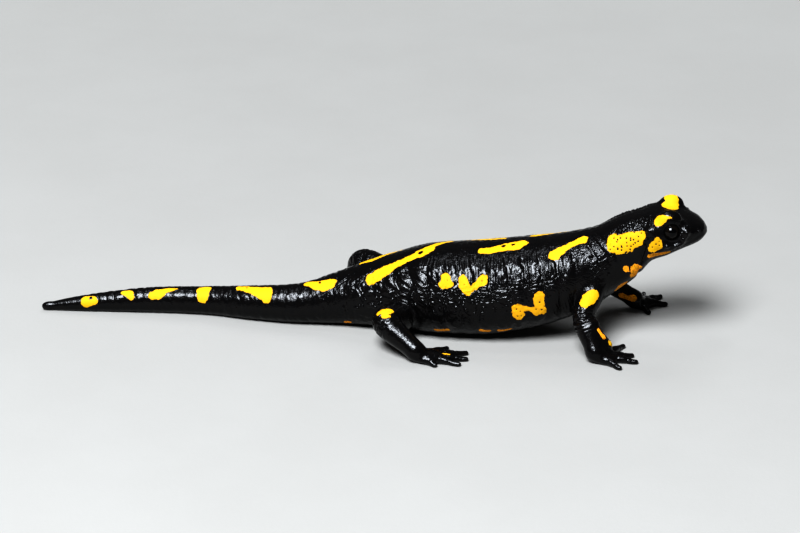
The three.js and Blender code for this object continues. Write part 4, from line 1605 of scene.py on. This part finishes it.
class Nodes:
    """A node tree with short ways to add and join nodes."""

    def __init__(self, tree: bpy.types.NodeTree) -> None:
        """Keeps the tree."""
        self.tree = tree

    def put(self, kind: str, **settings: object) -> bpy.types.Node:
        """A new node with its settings."""
        node = self.tree.nodes.new(kind)
        for name, value in settings.items():
            setattr(node, name, value)
        return node

    def feed(self, socket: bpy.types.NodeSocket, value: object) -> None:
        """Joins an output to a socket, or sets the socket to a value."""
        if isinstance(value, bpy.types.NodeSocket):
            self.tree.links.new(value, socket)
        else:
            socket.default_value = value

    def fill(self, node: bpy.types.Node, **values: object) -> bpy.types.Node:
        """Feeds a node's inputs by their names, with _ for a space."""
        for name, value in values.items():
            self.feed(node.inputs[name.replace("_", " ")], value)
        return node

    def math(self, operation: str, *values: object) -> bpy.types.NodeSocket:
        """The result of a sum."""
        node = self.put("ShaderNodeMath", operation=operation)
        for socket, value in zip(node.inputs, values):
            self.feed(socket, value)
        return node.outputs[0]

    def plus(self, first: object, second: object) -> bpy.types.NodeSocket:
        """One value and another."""
        return self.math("ADD", first, second)

    def minus(self, first: object, second: object) -> bpy.types.NodeSocket:
        """One value less another."""
        return self.math("SUBTRACT", first, second)

    def times(self, first: object, second: object) -> bpy.types.NodeSocket:
        """One value times another."""
        return self.math("MULTIPLY", first, second)

    def step(self, value: object, start: float, end: float) -> bpy.types.NodeSocket:
        """A smooth step from 0 at start to 1 at end."""
        node = self.put("ShaderNodeMapRange", interpolation_type="SMOOTHSTEP")
        return self.fill(node, Value=value, From_Min=start, From_Max=end).outputs["Result"]

    def mix(self, share: object, first: object, second: object) -> bpy.types.NodeSocket:
        """A mix of two colours."""
        node = self.put("ShaderNodeMix", data_type="RGBA", clamp_factor=True)
        for place, value in ((0, share), (6, first), (7, second)):
            is_colour = isinstance(value, tuple) and len(value) == 3
            self.feed(node.inputs[place], (*value, 1.0) if is_colour else value)
        return node.outputs[2]

    def noise(
        self, vector: object, scale: float, detail: float = 2.0, rough: float = 0.5
    ) -> bpy.types.NodeSocket:
        """Noise from 0 to 1."""
        node = self.put("ShaderNodeTexNoise")
        return self.fill(node, Vector=vector, Scale=scale, Detail=detail, Roughness=rough).outputs["Fac"]

    def cells(self, vector: object, scale: float) -> bpy.types.NodeSocket:
        """The distance to the nearest of scattered points."""
        return self.fill(self.put("ShaderNodeTexVoronoi"), Vector=vector, Scale=scale).outputs["Distance"]

    def attribute(self, name: str, output: str = "Fac") -> bpy.types.NodeSocket:
        """An attribute of the mesh, as a number or as a Vector."""
        return self.put("ShaderNodeAttribute", attribute_name=name).outputs[output]

    def stretched(self, vector: object, scale: Triple) -> bpy.types.NodeSocket:
        """A vector stretched along its axes."""
        node = self.put("ShaderNodeVectorMath", operation="MULTIPLY")
        self.feed(node.inputs[0], vector)
        self.feed(node.inputs[1], scale)
        return node.outputs[0]

    def bump(self, height: object, distance: float, strength: float) -> bpy.types.NodeSocket:
        """The normal of a surface with small heights on it."""
        node = self.put("ShaderNodeBump")
        return self.fill(node, Height=height, Distance=distance, Strength=strength).outputs["Normal"]

    def group(self, tree: bpy.types.NodeTree, **values: object) -> bpy.types.NodeSocket:
        """The result of a node group with its inputs fed."""
        return self.fill(self.put("ShaderNodeGroup", node_tree=tree), **values).outputs[0]


def new_group(name: str, inputs: dict[str, str], outputs: dict[str, str]) -> tuple[Nodes, dict, dict]:
    """A new shader node group.

    Args:
        name: The group's name.
        inputs: Each input's name and whether it is Float or Vector.
        outputs: The same for the outputs.

    Returns:
        The group's nodes, its inputs by name, and the sockets its outputs are fed through by name.
    """
    tree = bpy.data.node_groups.new(name, "ShaderNodeTree")
    for way, sockets in (("INPUT", inputs), ("OUTPUT", outputs)):
        for label, kind in sockets.items():
            tree.interface.new_socket(label, in_out=way, socket_type=f"NodeSocket{kind}")
    nodes = Nodes(tree)
    given, taken = nodes.put("NodeGroupInput"), nodes.put("NodeGroupOutput")
    return nodes, {k: given.outputs[k] for k in inputs}, {k: taken.inputs[k] for k in outputs}


class Effects:
    """Shader node groups that more than one finish uses."""

    def __init__(self) -> None:
        """Makes the groups."""
        self.edge = self._ragged_edge()
        self.mottle = self._mottle()

    @staticmethod
    def _ragged_edge() -> bpy.types.NodeTree:
        """Turns a distance into a mask with a slightly ragged edge."""
        inputs = {"Distance": "Float", "Place": "Vector", "Ragged": "Float", "Soft": "Float"}
        nodes, given, taken = new_group("Ragged edge", inputs, {"Mask": "Float"})
        wide, fine = (nodes.minus(nodes.noise(given["Place"], scale), 0.5) for scale in (0.55, 2.6))
        shift = nodes.plus(nodes.times(wide, 1.7), nodes.times(fine, 0.7))
        moved = nodes.plus(given["Distance"], nodes.times(shift, given["Ragged"]))
        nodes.feed(taken["Mask"], nodes.step(nodes.math("DIVIDE", moved, given["Soft"]), 1.0, -1.0))
        return nodes.tree

    @staticmethod
    def _mottle() -> bpy.types.NodeTree:
        """Uneven patches from large to small."""
        nodes, given, taken = new_group("Mottle", {"Place": "Vector", "Size": "Float"}, {"Share": "Float"})
        scaled = nodes.put("ShaderNodeVectorMath", operation="SCALE")
        nodes.feed(scaled.inputs[0], given["Place"])
        nodes.feed(scaled.inputs["Scale"], nodes.math("DIVIDE", 1.0, given["Size"]))
        nodes.feed(taken["Share"], nodes.step(nodes.noise(scaled.outputs[0], 1.0, 4.0, 0.6), 0.3, 0.7))
        return nodes.tree


def new_material(name: str) -> tuple[bpy.types.Material, Nodes, bpy.types.Node]:
    """A new material with an empty tree, a shader and an output."""
    material = bpy.data.materials.new(name)
    material.use_nodes = True
    nodes = Nodes(material.node_tree)
    nodes.tree.nodes.clear()
    shader, out = nodes.put("ShaderNodeBsdfPrincipled"), nodes.put("ShaderNodeOutputMaterial")
    nodes.feed(out.inputs["Surface"], shader.outputs[0])
    return material, nodes, shader


# ---- Pieces -------------------------------------------------------------------------------------------


class Skin:
    """The whole skin as one piece, with its folds, markings and gloss."""

    def __init__(self, body: Body, limbs: list[Limb], eyes: EyePlan, finish: SkinFinish) -> None:
        """Keeps the parts and plans."""
        self.body = body
        self.finish = finish
        self.shape = SkinShape(body, limbs, eyes)
        self.relief = Relief(body, limbs, eyes)
        self.markings = Markings(body, limbs)
        self.pores = Pores(PorePlan(), body)

    def build(self, measure: Measure, effects: Effects) -> bpy.types.Object:
        """Makes the skin's mesh and its material.

        Args:
            measure: The way from the animal's measure to the frame.
            effects: The shared node groups.

        Returns:
            The skin.
        """
        mesh = self.shape.build()
        places = self.body.places(mesh.points)
        edge, warm = self.markings.measure(mesh)
        pores = self.pores.measure(mesh.points)
        self.relief.carve(mesh, edge, pores)
        piece = blender_mesh("skin", measure.metres(mesh.points), mesh.faces)
        lie = columns(places.along, places.arc, places.side * 20.0)
        layers = {"spots": edge, "warm": warm, "pores": pores, "lie": lie, "place": mesh.points}
        for name, values in layers.items():
            add_layer(piece, name, values)
        piece.data.materials.append(self._material(effects))
        return piece

    def _material(self, effects: Effects) -> bpy.types.Material:
        """Glossy black skin with yellow and orange markings."""
        finish = self.finish
        material, nodes, shader = new_material("salamander_skin")
        place, lie = nodes.attribute("place", "Vector"), nodes.attribute("lie", "Vector")
        edge, warm, pore = (nodes.attribute(name) for name in ("spots", "warm", "pores"))
        spot = nodes.group(effects.edge, Distance=edge, Place=place, Ragged=finish.ragged, Soft=finish.soft)
        deeper = nodes.plus(edge, 0.12)
        heart = nodes.group(effects.edge, Distance=deeper, Place=place, Ragged=0.4, Soft=0.15)
        mottle = nodes.group(effects.mottle, Place=place, Size=finish.mottle)
        fine = nodes.noise(place, 3.2, 3.0, 0.6)
        black = nodes.mix(nodes.times(mottle, 0.6), finish.black, finish.brown)
        yellow = nodes.mix(heart, finish.amber, finish.yellow)
        yellow = nodes.mix(nodes.times(nodes.step(fine, 0.5, 0.8), 0.45), yellow, finish.amber)
        tint = nodes.plus(warm, nodes.times(nodes.minus(mottle, 0.5), warm))
        bright = nodes.mix(tint, yellow, finish.orange)
        crack = nodes.math("ABSOLUTE", nodes.minus(nodes.noise(place, 1.3), 0.5))
        cracked = nodes.times(nodes.step(crack, 0.04, 0.0), nodes.step(warm, 0.5, 0.9))
        bright = nodes.mix(nodes.times(cracked, 0.75), bright, finish.pore)
        bright = nodes.mix(nodes.step(pore, 0.3, 0.5), bright, finish.pore)
        rough = nodes.plus(finish.rough - 0.04, nodes.times(fine, 0.08))
        rough = nodes.plus(rough, nodes.times(spot, finish.spot_rough - finish.rough))
        normal = self._bump(nodes, place, lie, spot)
        colour = nodes.mix(spot, black, bright)
        nodes.fill(shader, Base_Color=colour, Roughness=rough, Normal=normal, IOR=finish.index)
        return material

    def _bump(self, nodes: Nodes, place: object, lie: object, spot: object) -> bpy.types.NodeSocket:
        """Fine wrinkles and pebbles too small for the mesh."""
        streaks = nodes.noise(nodes.stretched(lie, (2.1, 0.7, 1.0)), 1.0, 3.0, 0.55)
        lumps = nodes.times(nodes.cells(place, 2.1), -0.8)
        dust = nodes.times(nodes.noise(place, 6.0, 2.0, 0.6), 0.35)
        height = nodes.plus(nodes.plus(streaks, lumps), dust)
        calm = nodes.minus(1.0, nodes.times(spot, 0.45))
        return nodes.bump(nodes.times(height, calm), self.finish.bump * MM, 1.0)


@dataclass(frozen=True)
class Eye:
    """One eyeball with its clear bulging front."""

    side: Side
    plan: EyePlan = field(default_factory=EyePlan)
    finish: EyeFinish = field(default_factory=EyeFinish)
    rings: int = 72
    sides: int = 96
    bulge: float = 0.12  # how far the clear front stands out
    bulge_reach: float = 34.0  # degrees from the middle of the pupil to the bulge's edge
    pupil: float = 26.0
    iris: float = 46.0

    def build(self, body: Body, measure: Measure, effects: Effects) -> bpy.types.Object:
        """Makes the eyeball's mesh and its material.

        Args:
            body: The body that the eye belongs to.
            measure: The way from the animal's measure to the frame.
            effects: The shared node groups.

        Returns:
            The eye.
        """
        centre = self.plan.centre(body, self.side)
        gaze, across, rise = self.plan.axes(self.side)
        away = np.linspace(0.0, 180.0, self.rings + 1)[1:-1]
        turn = np.arange(self.sides) / self.sides * 2 * np.pi
        a, t = np.meshgrid(np.radians(away), turn, indexing="ij")
        reach = (self.plan.radius + self.bulge * bell(np.degrees(a), self.bulge_reach))[..., None]
        ring = np.sin(a)[..., None] * (across * np.cos(t)[..., None] + rise * np.sin(t)[..., None])
        points = (centre + reach * (gaze * np.cos(a)[..., None] + ring)).reshape(-1, 3)
        ends = np.stack([centre + gaze * (self.plan.radius + self.bulge), centre - gaze * self.plan.radius])
        points = measure.metres(np.vstack([points, ends]))
        quads, caps = tube_faces(len(away), self.sides)
        faces = np.vstack([quads[:, [0, 3, 2]], quads[:, [0, 2, 1]], caps[:, [0, 2, 1]]])
        piece = blender_mesh(f"eyeball_{self.side.name.lower()}", points, faces)
        add_layer(piece, "away", np.concatenate([np.repeat(away, self.sides), [0.0, 180.0]]))
        round_it = np.stack([np.cos(t), np.sin(t), a], axis=-1).reshape(-1, 3)
        add_layer(piece, "turn", np.vstack([round_it, np.zeros((2, 3))]))
        piece.data.materials.append(self._material(effects))
        return piece

    def _material(self, effects: Effects) -> bpy.types.Material:
        """A nearly black wet eye with a dark brown iris."""
        finish = self.finish
        material, nodes, shader = new_material(f"wet_eye_{self.side.name.lower()}")
        away, turn = nodes.attribute("away"), nodes.attribute("turn", "Vector")
        fibres = nodes.noise(nodes.stretched(turn, (9.0, 9.0, 1.4)), 1.0, 3.0, 0.6)
        mottle = nodes.group(effects.mottle, Place=turn, Size=0.25)
        iris = nodes.mix(nodes.times(fibres, mottle), finish.rim, finish.iris)
        inner = nodes.mix(nodes.step(away, self.pupil - 2.0, self.pupil + 1.5), finish.pupil, iris)
        colour = nodes.mix(nodes.step(away, self.iris - 4, self.iris), inner, finish.rim)
        rough = nodes.plus(finish.rough, nodes.times(mottle, 0.02))
        nodes.fill(shader, Base_Color=colour, Roughness=rough, IOR=finish.index)
        return material


@dataclass(frozen=True)
class Lamp:
    """A soft square light that shines on the model.

    Attributes:
        name: The light's name.
        azimuth: Degrees round from the camera's side.
        elevation: Degrees above the floor.
        away: Metres from the model.
        size: The light's side in metres.
        power: Its power in watts.
        shine: Whether glossy things mirror it.
    """

    name: str
    azimuth: float
    elevation: float
    away: float
    size: float
    power: float
    shine: bool = True


@dataclass(frozen=True)
class Studio:
    """The floor, the lights and the camera."""

    aim: Triple = (6.8, 0.0, 16.0)
    azimuth: float = 0.0
    elevation: float = 24.0
    distance: float = 700.0
    lens: float = 118.1
    sensor: float = 36.0
    nearest: float = 0.01  # metres ahead of the camera from which things are seen
    lamps: tuple[Lamp, ...] = (
        Lamp("key_light", -21.0, 57.0, 0.95, 0.42, 22.8),
        Lamp("top_light", -150.0, 76.0, 1.0, 0.16, 1.0),
        Lamp("back_fill", 165.0, 50.0, 1.0, 0.5, 3.5, False),
    )
    lamp_colour: Triple = (0.88, 0.93, 1.0)
    glow: Triple = (0.0655, 0.067, 0.069)  # the weak even light that falls on the model from all round
    half_floor: float = 1.6
    floor: FloorFinish = field(default_factory=FloorFinish)
    lit_floor: float = 0.8  # metres from the model over which the lamps' light on the floor fades
    surround: Triple = (0.31, 0.315, 0.315)  # the even light of the room beyond

    def direction(self, azimuth: float, elevation: float) -> Vector:
        """The direction out from the model: azimuth 0 stands in front of its right side."""
        a, e = math.radians(azimuth), math.radians(elevation)
        return Vector((math.sin(a) * math.cos(e), -math.cos(a) * math.cos(e), math.sin(e)))

    def lay_floor(self, effects: Effects) -> bpy.types.Object:
        """A large plain pale floor."""
        half, finish = self.half_floor, self.floor
        points = np.array([(x, y, 0.0) for y in (-half, half) for x in (-half, half)])
        piece = blender_mesh("floor", points, np.array([(0, 1, 3, 2)]))
        material, nodes, shader = new_material("pale_floor")
        place = nodes.put("ShaderNodeTexCoord").outputs["Object"]
        mottle = nodes.group(effects.mottle, Place=place, Size=0.05)
        colour = nodes.mix(mottle, finish.shade, finish.light)
        grain = nodes.noise(place, 900.0, 3.0, 0.6)
        rough = nodes.plus(finish.rough, nodes.times(grain, 0.1))
        normal = nodes.bump(grain, finish.bump * MM, 0.4)
        reach = nodes.put("ShaderNodeVectorMath", operation="LENGTH")
        nodes.feed(reach.inputs[0], place)
        spread = nodes.math("POWER", nodes.math("DIVIDE", reach.outputs["Value"], self.lit_floor), 2.0)
        fading = nodes.minus(1.0, nodes.math("POWER", nodes.plus(spread, 1.0), -2.0))
        seen = nodes.times(fading, nodes.put("ShaderNodeLightPath").outputs["Is Camera Ray"])
        beyond = nodes.mix(seen, (0.0, 0.0, 0.0), self.surround)
        nodes.fill(shader, Base_Color=colour, Roughness=rough, Normal=normal, Specular_IOR_Level=finish.shine)
        nodes.fill(shader, Emission_Color=beyond, Emission_Strength=1.0)
        piece.data.materials.append(material)
        return piece

    def _aim(
        self, thing: bpy.types.Object, azimuth: float, elevation: float, away: float, at: Vector
    ) -> None:
        """Places a lamp or a camera so that it faces a point from some way off, and links it.

        Args:
            thing: The lamp or camera.
            azimuth: Degrees round from the model's right side.
            elevation: Degrees above the floor.
            away: Metres from the point.
            at: The point.
        """
        back = self.direction(azimuth, elevation)
        thing.location = at + back * away
        thing.rotation_mode = "QUATERNION"
        thing.rotation_quaternion = back.to_track_quat("Z", "Y")
        bpy.context.scene.collection.objects.link(thing)

    def hang(self, lamp: Lamp) -> None:
        """Hangs one lamp."""
        data = bpy.data.lights.new(lamp.name, "AREA")
        data.energy = lamp.power
        data.color = self.lamp_colour
        data.size = lamp.size
        light = bpy.data.objects.new(lamp.name, data)
        light.visible_glossy = lamp.shine
        self._aim(light, lamp.azimuth, lamp.elevation, lamp.away, Vector())

    def light(self) -> None:
        """Hangs the lamps and sets a weak even glow all round."""
        for lamp in self.lamps:
            self.hang(lamp)
        world = bpy.data.worlds.new("studio")
        world.use_nodes = True
        nodes = Nodes(world.node_tree)
        seen = nodes.put("ShaderNodeLightPath").outputs["Is Camera Ray"]
        background = world.node_tree.nodes["Background"]
        nodes.fill(background, Color=nodes.mix(seen, self.glow, self.surround), Strength=1.0)
        bpy.context.scene.world = world

    def set_camera(self, measure: Measure) -> None:
        """Sets the camera in front of the model's right side, a little above it."""
        data = bpy.data.cameras.new("camera")
        data.lens = self.lens
        data.sensor_width = self.sensor
        data.clip_start = self.nearest
        camera = bpy.data.objects.new("camera", data)
        aim = Vector(measure.metres(np.array(self.aim)))
        self._aim(camera, self.azimuth, self.elevation, self.distance * MM, aim)
        bpy.context.scene.camera = camera
        bpy.context.scene.view_settings.view_transform = "Standard"
        bpy.context.scene.view_settings.look = "High Contrast"


# ---- The model ----------------------------------------------------------------------------------------


def main() -> None:
    """Builds the pieces in order and works out the bounds of the imported parts and of the model."""
    logging.basicConfig(level=logging.INFO, format="%(message)s")
    eyes = EyePlan()
    body = Body(BodyPlan())
    limbs = [Limb(plan) for plan in LIMBS]
    measure = Measure(body, eyes)
    effects = Effects()
    skin = Skin(body, limbs, eyes, SkinFinish()).build(measure, effects)
    flesh = [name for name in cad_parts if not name.startswith("eye_")]
    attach(skin, "root")
    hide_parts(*flesh)
    LOG.info("skin: %d points", len(skin.data.vertices))
    for side in Side:
        eye = Eye(side).build(body, measure, effects)
        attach(eye, "root")
        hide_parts(f"eye_{side.name.lower()}")
        LOG.info("%s: %d points", eye.name, len(eye.data.vertices))
    studio = Studio()
    floor = studio.lay_floor(effects)
    floor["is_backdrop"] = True
    LOG.info("floor")
    studio.light()
    LOG.info("lights")
    studio.set_camera(measure)
    LOG.info("camera")
    boxes = {"cad": cad_box, "visual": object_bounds()}
    {name: [list(corner) for corner in box] for name, box in boxes.items()}


if __name__ == "__main__":
    main()
